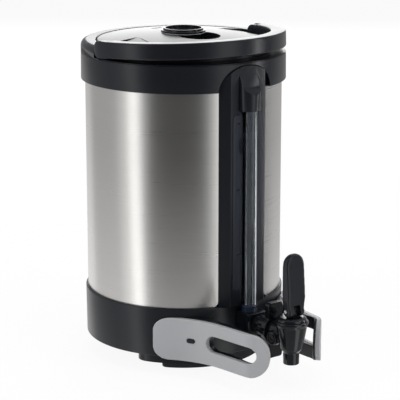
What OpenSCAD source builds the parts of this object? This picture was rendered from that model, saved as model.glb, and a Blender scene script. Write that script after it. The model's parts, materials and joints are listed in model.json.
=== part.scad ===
// Thermal coffee server with a sight gauge, a tap and a bail handle.
// Millimetres. The body's axis is Z, the tap faces -Y and the feet stand on Z = 0.

/* [Body] */
// Outer radius of the brushed steel shell
body_r = 113.5; // [108:0.5:125]
// Height of the steel shell
steel_h = 246; // [220:1:280]
// Sheet thickness of the steel shell
shell_t = 0.8; // [0.5:0.1:1.5]
// How far the base skirt stands proud of the steel
skirt_lip = 2.5; // [2:0.1:4]
// Height of the base skirt
skirt_h = 56.2; // [54:0.2:62]
// Wall of the moulded plastic parts
wall = 3; // [2.4:0.1:3.5]
// Height of the sill under the skirt
sill_h = 11.4; // [10:0.1:16]
// How far the sill stands back from the steel's radius
sill_inset = 7.5; // [4:0.5:12]
// Height of the rubber feet
foot_h = 10; // [6:0.5:14]
// How far the foot arcs stand back from the steel's radius
foot_inset = 20.5; // [15:0.5:28]

/* [Flask] */
// Distance from the steel's outside to the flask's outside
insulation = 19.5; // [18.5:0.1:26]
// Sheet thickness of the flask walls
flask_t = 0.8; // [0.6:0.1:1.2]
// Vacuum gap between the two flask walls
vacuum_gap = 8.4; // [6:0.2:9]
// Outer radius of the outlet spigot
spigot_r = 8; // [7:0.1:9]

/* [Top] */
// How far the collar stands proud of the steel
collar_lip = 4.5; // [3:0.1:6]
// Height of the collar
collar_h = 30.5; // [29:0.1:36]
// Height of the bail handle's band
band_h = 18.6; // [16:0.1:20]
// Radial thickness of the bail handle's band
band_w = 17.5; // [15:0.1:20]
// Degrees by which the bail handle stands open at rest
rest_tilt = 2.7; // [0:0.1:5]
// Radius of the bail handle's pivot pins
pivot_r = 4; // [3:0.1:5]

/* [Lid] */
// Gap between the lid and the collar's bore
lid_gap = 0.8; // [0.5:0.1:1.2]
// Rise of the lid's dome from edge to centre
dome_rise = 8; // [4:0.2:11]
// Outer radius of the filling ring's flange
fill_r = 25.6; // [23:0.1:29]
// Radius of the float ball
ball_r = 9; // [7.5:0.1:9.5]
// Travel of the float ball
ball_travel = 6.5; // [4:0.1:7]

/* [Sight gauge] */
// Outer radius of the gauge tube
tube_r = 7.95; // [7:0.05:9]
// Wall of the gauge tube
tube_wall = 1.6; // [1:0.1:2]
// How far the gauge tube's axis stands out from the steel
tube_out = 9.5; // [9:0.1:12]
// Width of the gauge housing where it meets the steel
house_w = 67.6; // [62:0.2:72]
// Gap round the gauge housing, to the steel and the collar
house_gap = 1; // [0.4:0.1:1.5]
// Width of the housing's flat front
face_w = 48; // [44:0.2:52]
// Width of the hood that holds the tube's top
hood_w = 24.4; // [23:0.1:28]
// Radius of the round disc behind the tube
disc_r = 14; // [11:0.1:16]

/* [Tap] */
// Distance of the spout's axis from the steel
tap_out = 83.5; // [78:0.5:92]
// Height of the shank's axis above the skirt's lower edge
shank_up = 38.6; // [37:0.2:42]
// Outer radius of the shank
shank_r = 9.5; // [8.5:0.1:10.5]
// Radius of the fluted shank nut
nut_r = 17; // [16:0.1:20]
// Reach of the shank nut's wings from the axis
wing_reach = 32; // [29:0.5:34]
// Outer radius of the spout
spout_r = 9; // [8.4:0.1:10]
// Bore radius of the spout
spout_bore = 6.8; // [5.5:0.1:7.2]
// Outer radius of the tap's bowl at its rim
bowl_r = 18.9; // [17.5:0.1:21]
// Width of the tap's lever
lever_w = 25.2; // [22:0.1:28]
// Thickness of the tap's lever at its thickest
lever_t = 11.2; // [9:0.1:13]
// Length of the tap's lever above its pin
lever_l = 64.5; // [50:0.5:80]

/* [Guard arms] */
// Height of the guard arms
arm_h = 49.4; // [44:0.2:52]
// Thickness of the grey arm covers
cover_t = 5.6; // [5:0.1:7]
// Thickness of the black frames inside the covers
frame_t = 6.9; // [5:0.1:8]
// Thickness of the black frames at the tips
frame_tip_t = 2.4; // [2:0.1:5]
// How far inside the steel's radius the covers' outer faces start their straight parts
arm_inset = 55.8; // [53:0.1:58]
// Distance from the steel to where the straight part starts
arm_out = 31.5; // [28.5:0.5:36.5]
// Degrees by which the straight parts turn inwards
arm_turn = 6.5; // [4:0.1:8]
// Length of the straight parts
arm_straight = 36; // [32:0.1:45]
// Length of the flat tips beyond the bend
tip_len = 15.7; // [13:0.1:19]
// Height of the finger slots
slot_h = 19; // [15:0.2:22]

/* [Hidden] */
$fn = 120;
seat = 0.3;
slide_gap = 0.3;
fit = 0.05;
past = 1;

skirt_r = body_r + skirt_lip;
collar_r = body_r + collar_lip;
sill_r = body_r - sill_inset;
foot_r = body_r - foot_inset;
z_sill = foot_h;
z_skirt = z_sill + sill_h;
z_steel = z_skirt + skirt_h;
z_collar = z_steel + steel_h;
z_deck = z_collar + collar_h;

// Skirt
skirt_floor_z = z_skirt + wall + 3;
skirt_in_r = skirt_r - wall - 0.2;
steel_ledge_r = body_r - 6.5;

// Flask
flask_r = body_r - insulation;
flask_in_r = flask_r - flask_t;
liner_out_r = flask_in_r - vacuum_gap;
liner_r = liner_out_r - flask_t;
z_flask = skirt_floor_z + 10.6;
z_liner = z_flask + flask_t + 7.4;
z_rim = z_collar + 2.4;
gasket_h = 2.5;
throat_r = liner_r + 4;
spigot_bore = spigot_r - 1.6;

// Gauge housing, as distances in front of the body's axis
tube_d = body_r + tube_out;
face_d = tube_d - 4.4;
flank_d = sqrt(body_r * body_r - house_w * house_w / 4);
house_back_d = flask_r + 11.6;
house_top_z = z_deck - 2.6;
groove_r = tube_r + 1.25;
lining_t = 0.6;
panel_t = 0.8;
panel_w = face_w - 5.6;
panel_z = z_steel + 20;
hood_z = z_collar - 21.5;
hood_low_d = tube_d + 8.9;
hood_nose_d = tube_d + 10.2;
hood_knee_z = hood_z + 17;
hood_mid_z = hood_z + 21.5;
hood_back_z = hood_z + 29;
hood_bore_r = tube_r + 1.1;
disc_z = hood_z - 39;
disc_face_d = face_d - 2.4;
grommet_grip = 7;
grommet_low_z = hood_z + 6;
tick_z = [for (k = [0:2]) z_steel + 60.5 + 75 * k];

// Gauge block and shank
shank_z = z_skirt + shank_up;
block_w = 26;
block_front_d = tube_d + 16;
block_back_d = house_back_d - 2.4;
block_top_z = shank_z + 12;
block_low_z = shank_z - 15;
tube_low_z = shank_z + 6;
tube_top_z = z_collar - 8;
grommet_h = 3.6;
washer_t = 2;
tap_d = body_r + tap_out;
shank_end_d = tap_d - 38;
barrel_r = 13;
nut_len = 15;
nut_back_d = shank_end_d - 4;
nut_front_d = nut_back_d + nut_len;
wing_t = 7;
wing_w = 20;
flute_n = 10;

// Tap bowl
spout_z = z_skirt + 6.9;
seat_z = spout_z + 17.7;
chamber_r = bowl_r - 5.5;
seat_r = spout_bore - 1.2;
rim_z = shank_z + 15.4;
bowl_top_z = rim_z + 3.2;
bonnet_z = bowl_top_z + 4.4;
plug_d = tap_d - 15.8;
plug_z = shank_z - 3.8;
plug_r = 7.6;
pin_d = tap_d + 3;
pin_z = bonnet_z + 7.5;
lever_pin_r = 2;
tongue_w = 8.4;
fork_gap = tongue_w + 0.8;
stem_r = 3;
lever_back_d = pin_d - 5.4;
lever_front_d = lever_back_d + lever_t;
lever_swing = 30;
lever_lift = 2;
spring_turns = 5;
spring_low_z = seat_z + 14;
spring_top_z = bowl_top_z - 0.4;
spring_mid_r = 6.6;
spring_wire = 0.8;

// Lid
bore_r = collar_r - band_w + 0.1;
lid_r = bore_r - lid_gap;
z_lid_seat = z_deck - 13;
lid_cap_z = z_deck + 21.6;
lid_edge_z = lid_cap_z - dome_rise;
lid_low_z = z_deck - 5;
ramp_deep = 8;
plug_low_z = z_lid_seat - 10;
dome_r = (lid_r * lid_r + dome_rise * dome_rise) / (2 * dome_rise);
insert_r = fill_r - 3.3;
insert_gap = 0.3;
flange_z = lid_cap_z;
ring_top_z = flange_z + 4.6;
cage_r = ball_r + 3;
cage_bore = ball_r + 0.6;
ball_low_z = z_collar + 6.4;
ball_z = ball_low_z + ball_r + 0.1;
seat_hole_r = ball_r - 2;
ball_seat_z = ball_z + ball_travel + 0.3 + sqrt(ball_r * ball_r - seat_hole_r * seat_hole_r);

// Bail handle
pivot_z = z_deck + 11.5;
band_low = 9.1;
band_out_r = collar_r;
band_in_r = collar_r - band_w;
ear_in_x = bore_r + 0.6;
ear_out_x = ear_in_x + 7.4;
cheek_in_x = ear_out_x + 0.4;
ear_r = 9;
cheek_r = 10.2;
ring_flange = 1;
shoulder_z = z_deck + 14;
rear_z = z_deck + 7;
sweep_y = 8;
sweep_deg = 12.5;

// Guard arms: the outer face runs round the skirt, swings forward and bends in at the tip
arm_low_z = z_skirt - 2.4;
arm_seat_r = skirt_r + 3.2;
arm_rear_deg = 54.5;
tip_r = 20;
tip_bend = 40;
start = [body_r - arm_inset, -body_r - arm_out];
out_dir = [cos(arm_turn), -sin(arm_turn)];
fwd_dir = [-sin(arm_turn), -cos(arm_turn)];
start_out = start * out_dir;
swing_r = (start * start - arm_seat_r * arm_seat_r) / (2 * (arm_seat_r - start_out));
swing_c = start + swing_r * out_dir;
swing_deg = atan2(swing_c[1], swing_c[0]);
bend_c = start + arm_straight * fwd_dir - tip_r * out_dir;
arm_rear_w = (arm_seat_r * [sin(arm_rear_deg), -cos(arm_rear_deg)] - start) * fwd_dir;
tip_deg = arm_turn + tip_bend;
tip_round = 23;
slot_rear_w = -22;
slot_tip_w = 49;
frame_slot = 0.4;
emblem_deg = 152;

plastic = [0.18, 0.2, 0.23];
gloss = [0.1, 0.11, 0.13];
rubber = [0.09, 0.09, 0.1];
steel = [0.75, 0.74, 0.72];
grey = [0.68, 0.69, 0.7];

// A tube between two heights
module ring(r_out, r_in, z0, z1) {
    translate([0, 0, z0])
        difference() {
            cylinder(r = r_out, h = z1 - z0);
            translate([0, 0, -past]) cylinder(r = r_in, h = z1 - z0 + 2 * past);
        }
}

// A ring about Z cut to a sector, its angles counted from the front towards +X
module arc_ring(r_out, r_in, from, to, z0, z1) {
    rotate([0, 0, from - 90])
        rotate_extrude(angle = to - from)
            translate([r_in, z0])
                square([r_out - r_in, z1 - z0]);
}

// A plate drawn seen from the front, between two distances in front of the axis
module front_plate(d_back, d_front) {
    translate([0, -d_back, 0])
        rotate([90, 0, 0])
            linear_extrude(height = d_front - d_back)
                children();
}

// A rod that runs forward, between two distances in front of the axis
module front_rod(r, x, z, d_back, d_front) {
    translate([x, -d_back, z]) rotate([90, 0, 0]) cylinder(r = r, h = d_front - d_back);
}

// The same shape at both sides
module both_sides() {
    children();
    mirror([1, 0, 0]) children();
}

// A rod along X
module cross_rod(r, y, z, x0, x1) {
    translate([x0, y, z]) rotate([0, 90, 0]) cylinder(r = r, h = x1 - x0);
}

// A flat stadium of a length between centres
module stadium(length, r) {
    translate([0, -r]) square([length, 2 * r]);
    circle(r = r);
    translate([length, 0]) circle(r = r);
}

// A rectangle from corner to corner with its own radius at each end
module round_end_plate(x0, x1, y0, y1, r0, r1) {
    translate([x0 + r0, y0]) square([x1 - x0 - r0 - r1, y1 - y0]);
    translate([x0, y0 + r0]) square([r0 + past, y1 - y0 - 2 * r0]);
    translate([x1 - r1 - past, y0 + r1]) square([r1 + past, y1 - y0 - 2 * r1]);
    for (y = [y0 + r0, y1 - r0]) translate([x0 + r0, y]) circle(r = r0);
    for (y = [y0 + r1, y1 - r1]) translate([x1 - r1, y]) circle(r = r1);
}

// Outline of the housing seen from the front: straight sides and an arched top
module house_front(grow) {
    half = house_w / 2 + grow;
    arch_z = house_top_z - house_w / 2;
    translate([-half, z_steel]) square([2 * half, arch_z - z_steel]);
    translate([0, arch_z]) circle(r = half);
}

// The feet: rubber arcs under the sill
module foot_arc(half_deg, turn) {
    color(rubber)
        rotate([0, 0, turn]) {
            arc_ring(foot_r, foot_r - 15, -half_deg, half_deg, 0, foot_h);
            for (a = [-half_deg, half_deg])
                rotate([0, 0, a])
                    translate([0, -foot_r + 7.5, 0]) cylinder(r = 7.5, h = foot_h);
        }
}

module front_foot() { foot_arc(49, 0); }

module rear_foot() { foot_arc(34, 180); }

// The sill: a plate with a wide front lobe and a rear lobe
module base_sill() {
    lobe_r = 16;
    color(plastic)
        difference() {
            union() {
                ring(62, 30, z_skirt - 5, z_skirt);
                for (lobe = [[61, 0], [50, 180]])
                    rotate([0, 0, lobe[1]]) {
                        arc_ring(sill_r, 40, -lobe[0], lobe[0], z_sill, z_skirt);
                        for (a = [-lobe[0], lobe[0]])
                            rotate([0, 0, a])
                                translate([0, -sill_r + lobe_r, z_sill])
                                    cylinder(r = lobe_r, h = sill_h);
                    }
            }
            for (a = screw_deg)
                rotate([0, 0, a])
                    translate([0, -screw_place_r, z_sill - past]) {
                        cylinder(r = 5.2, h = past + 3);
                        cylinder(r = 2.6, h = sill_h + 2 * past);
                    }
        }
}

screw_deg = [-40, 40, 145, 215];
screw_place_r = 70;

module base_screws() {
    color("silver")
        for (a = screw_deg)
            rotate([0, 0, a])
                translate([0, -screw_place_r, z_sill])
                    difference() {
                        union() {
                            cylinder(r = 4.8, h = 3);
                            cylinder(r = 2.4, h = sill_h + wall + 1.5);
                        }
                        translate([0, 0, -past]) cylinder(r = 2, h = past + 1.4, $fn = 6);
                    }
}

// The skirt: outer wall, floor, and a ledge that carries the steel shell
module base_skirt() {
    color(plastic)
        difference() {
            rotate_extrude()
                polygon([
                    [0, z_skirt], [skirt_r - 0.9, z_skirt], [skirt_r - 0.5, z_skirt + 0.6],
                    [skirt_r, z_steel - 3], [skirt_r - 0.2, z_steel - 0.8], [skirt_r - 1, z_steel],
                    [steel_ledge_r, z_steel], [steel_ledge_r, z_steel - wall],
                    [skirt_in_r, z_steel - wall], [skirt_in_r, skirt_floor_z], [0, skirt_floor_z]
                ]);
            front_plate(skirt_in_r - 8, skirt_r + past)
                translate([-block_w / 2 - seat, block_low_z - seat])
                    square([block_w + 2 * seat, block_top_z - block_low_z + 2 * seat]);
            translate([0, -tube_d, block_top_z - past]) cylinder(r = groove_r, h = z_steel);
            for (a = screw_deg)
                rotate([0, 0, a])
                    translate([0, -screw_place_r, z_skirt - past]) cylinder(r = 2.4 + fit, h = wall + 2 + past);
            guard_screw_places() cylinder(r = 2 + 2 * fit, h = 20, center = true);
        }
}

module flask_cushion() {
    color(rubber) ring(liner_r - 2, liner_r - 26, skirt_floor_z, z_flask);
}

// The visible body: a rolled steel sheet with a front window for the gauge housing
module steel_shell() {
    corner_r = 9;
    half = house_w / 2 + house_gap;
    color(steel)
        difference() {
            ring(body_r, body_r - shell_t, z_steel, z_collar);
            front_plate(body_r / 2, body_r + 2 * past) {
                translate([-half, z_steel - past]) square([2 * half, steel_h + 2 * past]);
                for (side = [-1, 1])
                    difference() {
                        translate([side > 0 ? half - past : -half - corner_r, z_steel - past])
                            square([corner_r + past, corner_r + past]);
                        translate([side * (half + corner_r), z_steel + corner_r]) circle(r = corner_r);
                    }
            }
        }
}

// Foam between the flask and the steel, left open behind the gauge
module insulation_jacket() {
    color([0.92, 0.9, 0.82])
        difference() {
            ring(body_r - shell_t - 4, flask_r + 0.4, z_steel + 0.2, z_collar - 8);
            front_plate(body_r / 2, body_r) {
                translate([-house_w / 2 - 4, z_steel - past]) square([house_w + 8, steel_h]);
            }
        }
}

module flask_outer() {
    color("gainsboro")
        difference() {
            translate([0, 0, z_flask]) cylinder(r = flask_r, h = z_rim - z_flask);
            translate([0, 0, z_flask + flask_t]) cylinder(r = flask_in_r, h = steel_h + skirt_h);
            front_rod(spigot_r + fit, 0, shank_z, flask_in_r - 8, flask_r + past);
        }
}

// The liner's wall, with a rolled rim over the outer wall and a hole for the spigot
module flask_liner() {
    color("silver")
        difference() {
            union() {
                ring(liner_out_r, liner_r, z_liner + flask_t, z_rim + flask_t);
                ring(flask_r, liner_r, z_rim, z_rim + flask_t);
            }
            front_rod(spigot_r + fit, 0, shank_z, liner_r - 5, flask_in_r);
        }
}

// The liner's floor, welded under its wall
module flask_base() {
    color("silver") translate([0, 0, z_liner]) cylinder(r = liner_out_r, h = flask_t);
}

// The spigot that leads the coffee from the liner to the gauge block
module outlet_spigot() {
    color("silver")
        difference() {
            front_rod(spigot_r, 0, shank_z, liner_r - 0.6, block_back_d - washer_t);
            front_rod(spigot_bore, 0, shank_z, liner_r - 5, block_back_d);
        }
}

module flask_gasket() {
    color(rubber) ring(flask_r - 0.4, liner_r + 2, z_rim + flask_t, z_rim + flask_t + gasket_h);
}

// Everything in front of the sweep plane or below the rear height, which the collar fills
module sweep_space(drop) {
    rotate([sweep_deg, 0, 0])
        translate([-collar_r * 2, 0, -collar_r - drop])
            cube([collar_r * 4, collar_r * 2, collar_r]);
}

// The raised band at the back of the collar, whose top edge sweeps up from the sides
module rear_band(r_in, drop) {
    intersection() {
        ring(collar_r, r_in, z_deck - past, rear_z - drop);
        translate([0, sweep_y, z_deck]) sweep_space(drop);
        translate([-collar_r - past, sweep_y, z_deck - 2 * past])
            cube([2 * collar_r + 2 * past, collar_r + past, rear_z - z_deck + 4 * past]);
    }
}

// The collar: outer wall, deck, bore for the lid and throat over the flask's rim
module collar() {
    throat_low = z_rim + flask_t + gasket_h;
    arch_side_deg = 6 + asin((house_w / 2 + house_gap) / collar_r);
    color(plastic)
        difference() {
            union() {
                rotate_extrude()
                    polygon([
                        [collar_r + 0.3, z_collar], [collar_r, z_deck - 1], [collar_r - 0.8, z_deck],
                        [bore_r, z_deck], [bore_r, z_lid_seat], [throat_r, z_lid_seat], [throat_r, throat_low],
                        [throat_r + 2.5, throat_low], [throat_r + 2.5, z_lid_seat - 2.5],
                        [bore_r + 2.5, z_lid_seat - 2.5], [bore_r + 2.5, z_deck - wall],
                        [collar_r - wall, z_deck - wall], [collar_r - wall, z_collar + wall],
                        [body_r - 5, z_collar + wall], [body_r - 5, z_collar]
                    ]);
                rear_band(collar_r - wall, 0);
                // Solid beside the arch, which closes the collar's hollow there
                arc_ring(collar_r - 1, bore_r + 1, -arch_side_deg, arch_side_deg, z_collar, z_deck - 1);
            }
            front_plate(bore_r + 4, collar_r + 2 * past) house_front(house_gap);
            for (a = ring_screw_deg)
                rotate([0, 0, a])
                    translate([0, -ring_screw_r, z_deck - wall - past]) cylinder(r = 1.7, h = wall + 2 * past);
        }
}

ring_screw_deg = [125, 165, 195, 235];
ring_screw_r = collar_r - 11;
ring_screw_grip = 8.5;

// The top ring: a thin flange all round, a rounded shoulder behind and an ear at each side
module top_ring() {
    out_r = collar_r - 1;
    band_r = collar_r - wall - seat;
    color(plastic)
        difference() {
            union() {
                ring(out_r, bore_r, z_deck, z_deck + ring_flange);
                rotate_extrude(angle = 180)
                    polygon([
                        [bore_r + 0.3, z_deck], [collar_r, z_deck], [collar_r, rear_z + 0.4],
                        [collar_r - 1.3, rear_z + 3], [collar_r - 4.6, rear_z + 5.2],
                        [collar_r - 9, rear_z + 6.5], [bore_r + 2, shoulder_z], [bore_r + 0.3, shoulder_z - 0.8]
                    ]);
                both_sides() {
                    cross_rod(ear_r, 0, pivot_z, ear_in_x, ear_out_x);
                    translate([ear_in_x, -ear_r, z_deck]) cube([ear_out_x - ear_in_x, 2 * ear_r, pivot_z - z_deck]);
                }
            }
            rear_band(band_r, -seat);
            both_sides() {
                cross_rod(cheek_r + 0.6, 0, pivot_z, cheek_in_x - 0.4, collar_r + past);
                translate([cheek_in_x - 0.4, 0, z_deck + ring_flange])
                    cube([collar_r, cheek_r, pivot_z - z_deck]);
                cross_rod(pivot_r + fit, 0, pivot_z, ear_in_x - past, ear_out_x + past);
            }
            for (a = ring_screw_deg)
                rotate([0, 0, a])
                    translate([0, -ring_screw_r, z_deck - past])
                        cylinder(r = 1.5 + fit, h = ring_screw_grip + 0.5 + past);
        }
}

module ring_screws() {
    color("silver")
        for (a = ring_screw_deg)
            rotate([0, 0, a])
                translate([0, -ring_screw_r, z_deck - wall]) {
                    cylinder(r = 1.5, h = wall + ring_screw_grip);
                    translate([0, 0, -2]) cylinder(r = 3, h = 2);
                }
}

module handle_pins() {
    color("silver")
        both_sides() cross_rod(pivot_r, 0, pivot_z, ear_in_x + 0.4, collar_r - 2.5);
}

// The bail handle: a half ring round the lid's front with a cheek at each end
module carry_handle() {
    low_z = pivot_z - band_low;
    start_y = ear_r + 0.8;
    color(plastic)
        translate([0, 0, pivot_z]) rotate([-rest_tilt, 0, 0]) translate([0, 0, -pivot_z])
            difference() {
                union() {
                    intersection() {
                        rotate_extrude()
                            polygon([
                                [band_in_r, low_z + 1], [band_in_r + 1, low_z], [band_out_r - 1, low_z],
                                [band_out_r, low_z + 1], [band_out_r, low_z + band_h - 1.6],
                                [band_out_r - 0.5, low_z + band_h - 0.5], [band_out_r - 1.6, low_z + band_h],
                                [band_in_r + 1, low_z + band_h], [band_in_r, low_z + band_h - 1]
                            ]);
                        translate([-collar_r - past, -collar_r - past, low_z - past])
                            cube([2 * (collar_r + past), collar_r + past - start_y, band_h + 2 * past]);
                    }
                    intersection() {
                        ring(band_out_r, band_in_r, low_z, low_z + band_h);
                        both_sides() {
                            cross_rod(cheek_r, 0, pivot_z, cheek_in_x, collar_r + past);
                            translate([cheek_in_x, -start_y - past, low_z])
                                cube([collar_r, start_y + past, band_h]);
                        }
                    }
                }
                both_sides() cross_rod(pivot_r + 2 * fit, 0, pivot_z, cheek_in_x - past, collar_r - 2.2);
            }
}

// Height of the lid's dome at a radius
function dome_z(r) = lid_cap_z - dome_r + sqrt(dome_r * dome_r - r * r);

// A finger ramp at one side of the lid, deepest beside the handle's end
module side_ramp() {
    tip = 0.57 * lid_r;
    tip_back = 0.1 * lid_r;
    long = lid_r - tip;
    drop = atan2(ramp_deep, long);
    translate([tip, tip_back, dome_z(tip)])
        rotate([0, drop, 0])
            linear_extrude(height = 2 * dome_rise)
                polygon([[0, 0], [1.2 * long, 6.5], [1.2 * long, -1.7 * long], [0.44 * long, -1.7 * long]]);
}

// The lid's cover: a shallow dome with a finger pocket, two side ramps and a steam slot
module lid_cover() {
    steps = 9;
    pocket_floor = lid_cap_z - 10;
    rim_start = fill_r + 0.6;
    pocket_r = 24.2;
    slot_w = 8;
    slot_r = 3.4;
    slot_y = 0.52 * lid_r;
    color(plastic)
        difference() {
            rotate_extrude()
                polygon(concat(
                    [[insert_r + insert_gap, lid_low_z], [lid_r - 0.4, lid_low_z], [lid_r, lid_low_z + 0.6],
                     [lid_r, dome_z(lid_r) - 0.8]],
                    [for (k = [0:steps]) let (r = lid_r - 0.7 - (lid_r - 0.7 - rim_start) * k / steps) [r, dome_z(r)]],
                    [[rim_start, lid_cap_z - 0.8], [insert_r + insert_gap, lid_cap_z - 0.8]]
                ));
            // Finger pocket in front of the filling ring
            translate([0, -30, pocket_floor]) cylinder(r = pocket_r, h = 30);
            both_sides() side_ramp();
            // Steam slot behind the filling ring
            translate([-slot_w / 2, slot_y, lid_cap_z - 4.5])
                linear_extrude(height = dome_rise + past) stadium(slot_w, slot_r);
            // Hollow underside, open downwards
            ring(lid_r - wall, insert_r + 3.3, lid_low_z - past, lid_edge_z - ramp_deep - 2.7);
        }
}

// The lid's liner: a plug that sits in the throat under the cover
module lid_liner() {
    color(rubber)
        rotate_extrude()
            polygon([
                [insert_r + insert_gap, plug_low_z], [throat_r - 3.4, plug_low_z],
                [throat_r - 3.4, z_lid_seat + seat], [bore_r - 1.2, z_lid_seat + seat], [bore_r - 1.2, lid_low_z],
                [throat_r - 6.4, lid_low_z], [throat_r - 6.4, plug_low_z + wall],
                [insert_r + wall, plug_low_z + wall], [insert_r + wall, lid_low_z], [insert_r + insert_gap, lid_low_z]
            ]);
}

module lid_gasket() {
    color([0.8, 0.8, 0.78])
        ring(throat_r - 0.5, throat_r - 3.4 + fit, z_lid_seat - 7, z_lid_seat - 2);
}

// The filling ring with its well, throat and ball cage
module fill_insert() {
    well_r = insert_r - 3.4;
    well_z = flange_z - 9;
    top_in = fill_r - 6.4;
    color(gloss)
        difference() {
            union() {
                rotate_extrude()
                    polygon([
                        [5, z_lid_seat + 6], [insert_r, z_lid_seat + 6], [insert_r, flange_z],
                        [fill_r, flange_z], [fill_r, flange_z + 1.6], [fill_r - 1, flange_z + 2.2],
                        [fill_r - 2.2, flange_z + 2.2], [fill_r - 2.2, ring_top_z - 0.8],
                        [fill_r - 3, ring_top_z], [5, ring_top_z]
                    ]);
                translate([0, 0, ball_low_z - 2.4]) cylinder(r = cage_r, h = z_lid_seat + 10 - ball_low_z);
            }
            // Stepped well
            translate([0, 0, flange_z + 0.6]) cylinder(r = top_in + 1.4, h = 20);
            translate([0, 0, well_z]) cylinder(r = well_r, h = 30);
            translate([0, 0, ball_seat_z]) cylinder(r = seat_hole_r, h = 40);
            translate([0, 0, ball_low_z]) cylinder(r = cage_bore, h = ball_seat_z - ball_low_z);
            for (k = [0:5])
                rotate([0, 0, 60 * k])
                    translate([cage_bore - 3.4, 0, ball_low_z - 2.4 - past]) cylinder(r = 2, h = 3 + 2 * past);
            translate([0, 0, ball_low_z - 2.4 - past]) cylinder(r = 2.6, h = 3 + 2 * past);
            for (turn = [0, 90])
                rotate([0, 0, turn])
                    translate([-cage_r - past, -3, ball_low_z + 3]) cube([2 * (cage_r + past), 6, 8]);
        }
}

module insert_seal() {
    color(rubber) ring(fill_r - 0.6, insert_r + 0.1, flange_z - 0.8, flange_z);
}

module float_ball() {
    color("white") translate([0, 0, ball_z]) sphere(r = ball_r);
}

// Section of the housing seen from above: flat front and sloping flanks
module house_section() {
    polygon([
        [-house_w / 2, -house_back_d], [-house_w / 2, -flank_d], [-face_w / 2, -face_d],
        [face_w / 2, -face_d], [house_w / 2, -flank_d], [house_w / 2, -house_back_d]
    ]);
}

// Side profile of the hood, as distance in front of the axis against height
module hood_profile() {
    polygon([
        [-(face_d - 3), hood_z], [-hood_low_d, hood_z], [-hood_nose_d + 0.4, hood_z + 1.5],
        [-hood_nose_d, hood_knee_z], [-hood_low_d + 1.6, hood_mid_z], [-tube_d - 0.6, hood_back_z],
        [-face_d, hood_z + 42], [-(face_d - 3), hood_z + 42]
    ]);
}

module gauge_housing() {
    shelf_w = house_w + 20;
    color(plastic)
        difference() {
            union() {
                intersection() {
                    translate([0, 0, z_steel]) linear_extrude(height = steel_h + collar_h) house_section();
                    front_plate(house_back_d - past, hood_nose_d + past) house_front(0);
                }
                // Backing strip behind the steel's rounded lower corners
                intersection() {
                    ring(body_r - shell_t - 0.1, body_r - shell_t - 2.6, z_steel, z_steel + 14);
                    translate([-shelf_w / 2, -body_r, z_steel]) cube([shelf_w, 50, 14]);
                }
                // Hood over the tube's top
                intersection() {
                    front_plate(face_d - 4, hood_nose_d + past) house_front(0);
                    rotate([90, 0, 90]) translate([0, 0, -hood_w]) linear_extrude(height = 2 * hood_w) hood_profile();
                    front_plate(face_d - 4, hood_nose_d + past)
                        translate([-hood_w / 2, hood_z]) square([hood_w, house_top_z - hood_z]);
                }
            }
            // Groove for the tube, and its socket in the hood
            translate([0, -tube_d, z_steel - past]) cylinder(r = groove_r, h = hood_z - z_steel + past);
            translate([0, -tube_d, hood_z - past]) cylinder(r = tube_r + 2 * fit, h = tube_top_z + 3 - hood_z + past);
            translate([0, -tube_d, grommet_low_z]) cylinder(r = hood_bore_r, h = grommet_grip);
            front_rod(disc_r + 0.1, 0, disc_z, disc_face_d - 3.4, face_d + 5);
            // Hollow back
            translate([-house_w / 2 + wall + 3, -house_back_d - 2.5, z_steel + 22])
                cube([house_w - 2 * wall - 6, 2.5 + past, steel_h - 40]);
        }
}

// The pale front panel: two strips joined by the lining of the tube groove, with plain level ticks
module gauge_panel() {
    top_z = hood_z - 0.3;
    long_tick = 4.6;
    short_tick = 2.2;
    color([0.3, 0.33, 0.36])
        difference() {
            union() {
                translate([0, 0, panel_z])
                    linear_extrude(height = top_z - panel_z)
                        difference() {
                            union() {
                                translate([-panel_w / 2, -face_d - panel_t]) square([panel_w, panel_t]);
                                intersection() {
                                    translate([0, -tube_d]) circle(r = groove_r);
                                    translate([-panel_w / 2, -face_d - panel_t / 2]) square([panel_w, 20]);
                                }
                            }
                            translate([0, -tube_d]) circle(r = groove_r - lining_t);
                        }
                for (k = [0:len(tick_z) - 1])
                    for (side = [-1, 1])
                        translate([side > 0 ? groove_r + 2 : -groove_r - 2 - long_tick, -face_d - panel_t - 0.3, tick_z[k] - 0.6])
                            cube([side > 0 ? short_tick : long_tick, 0.5, 1.2]);
            }
            front_rod(disc_r + 0.3, 0, disc_z, disc_face_d - past, face_d + 5);
        }
}

// The round disc in its recess behind the tube
module gauge_disc() {
    color([0.25, 0.27, 0.3])
        difference() {
            front_rod(disc_r, 0, disc_z, disc_face_d - 3.4, disc_face_d);
            translate([0, -tube_d, disc_z - 20]) cylinder(r = groove_r, h = 40);
        }
}

module gauge_tube() {
    color([0.8, 0.88, 0.95, 0.5])
        translate([0, -tube_d, 0]) ring(tube_r, tube_r - tube_wall, tube_low_z, tube_top_z);
}

module tube_grommet_low() {
    color([0.55, 0.65, 0.8])
        translate([0, -tube_d, 0])
            rotate_extrude()
                polygon([
                        [tube_r + fit, block_top_z - 5], [tube_r + 1.9, block_top_z - 5], [tube_r + 1.9, block_top_z],
                        [tube_r + 1, block_top_z], [tube_r + 1, block_top_z + grommet_h - 1],
                        [tube_r + 0.7, block_top_z + grommet_h], [tube_r + fit, block_top_z + grommet_h]
                ]);
}

module tube_grommet_top() {
    color([0.55, 0.65, 0.8])
        translate([0, -tube_d, 0]) ring(hood_bore_r - fit, tube_r + fit, grommet_low_z, grommet_low_z + grommet_grip);
}

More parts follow.
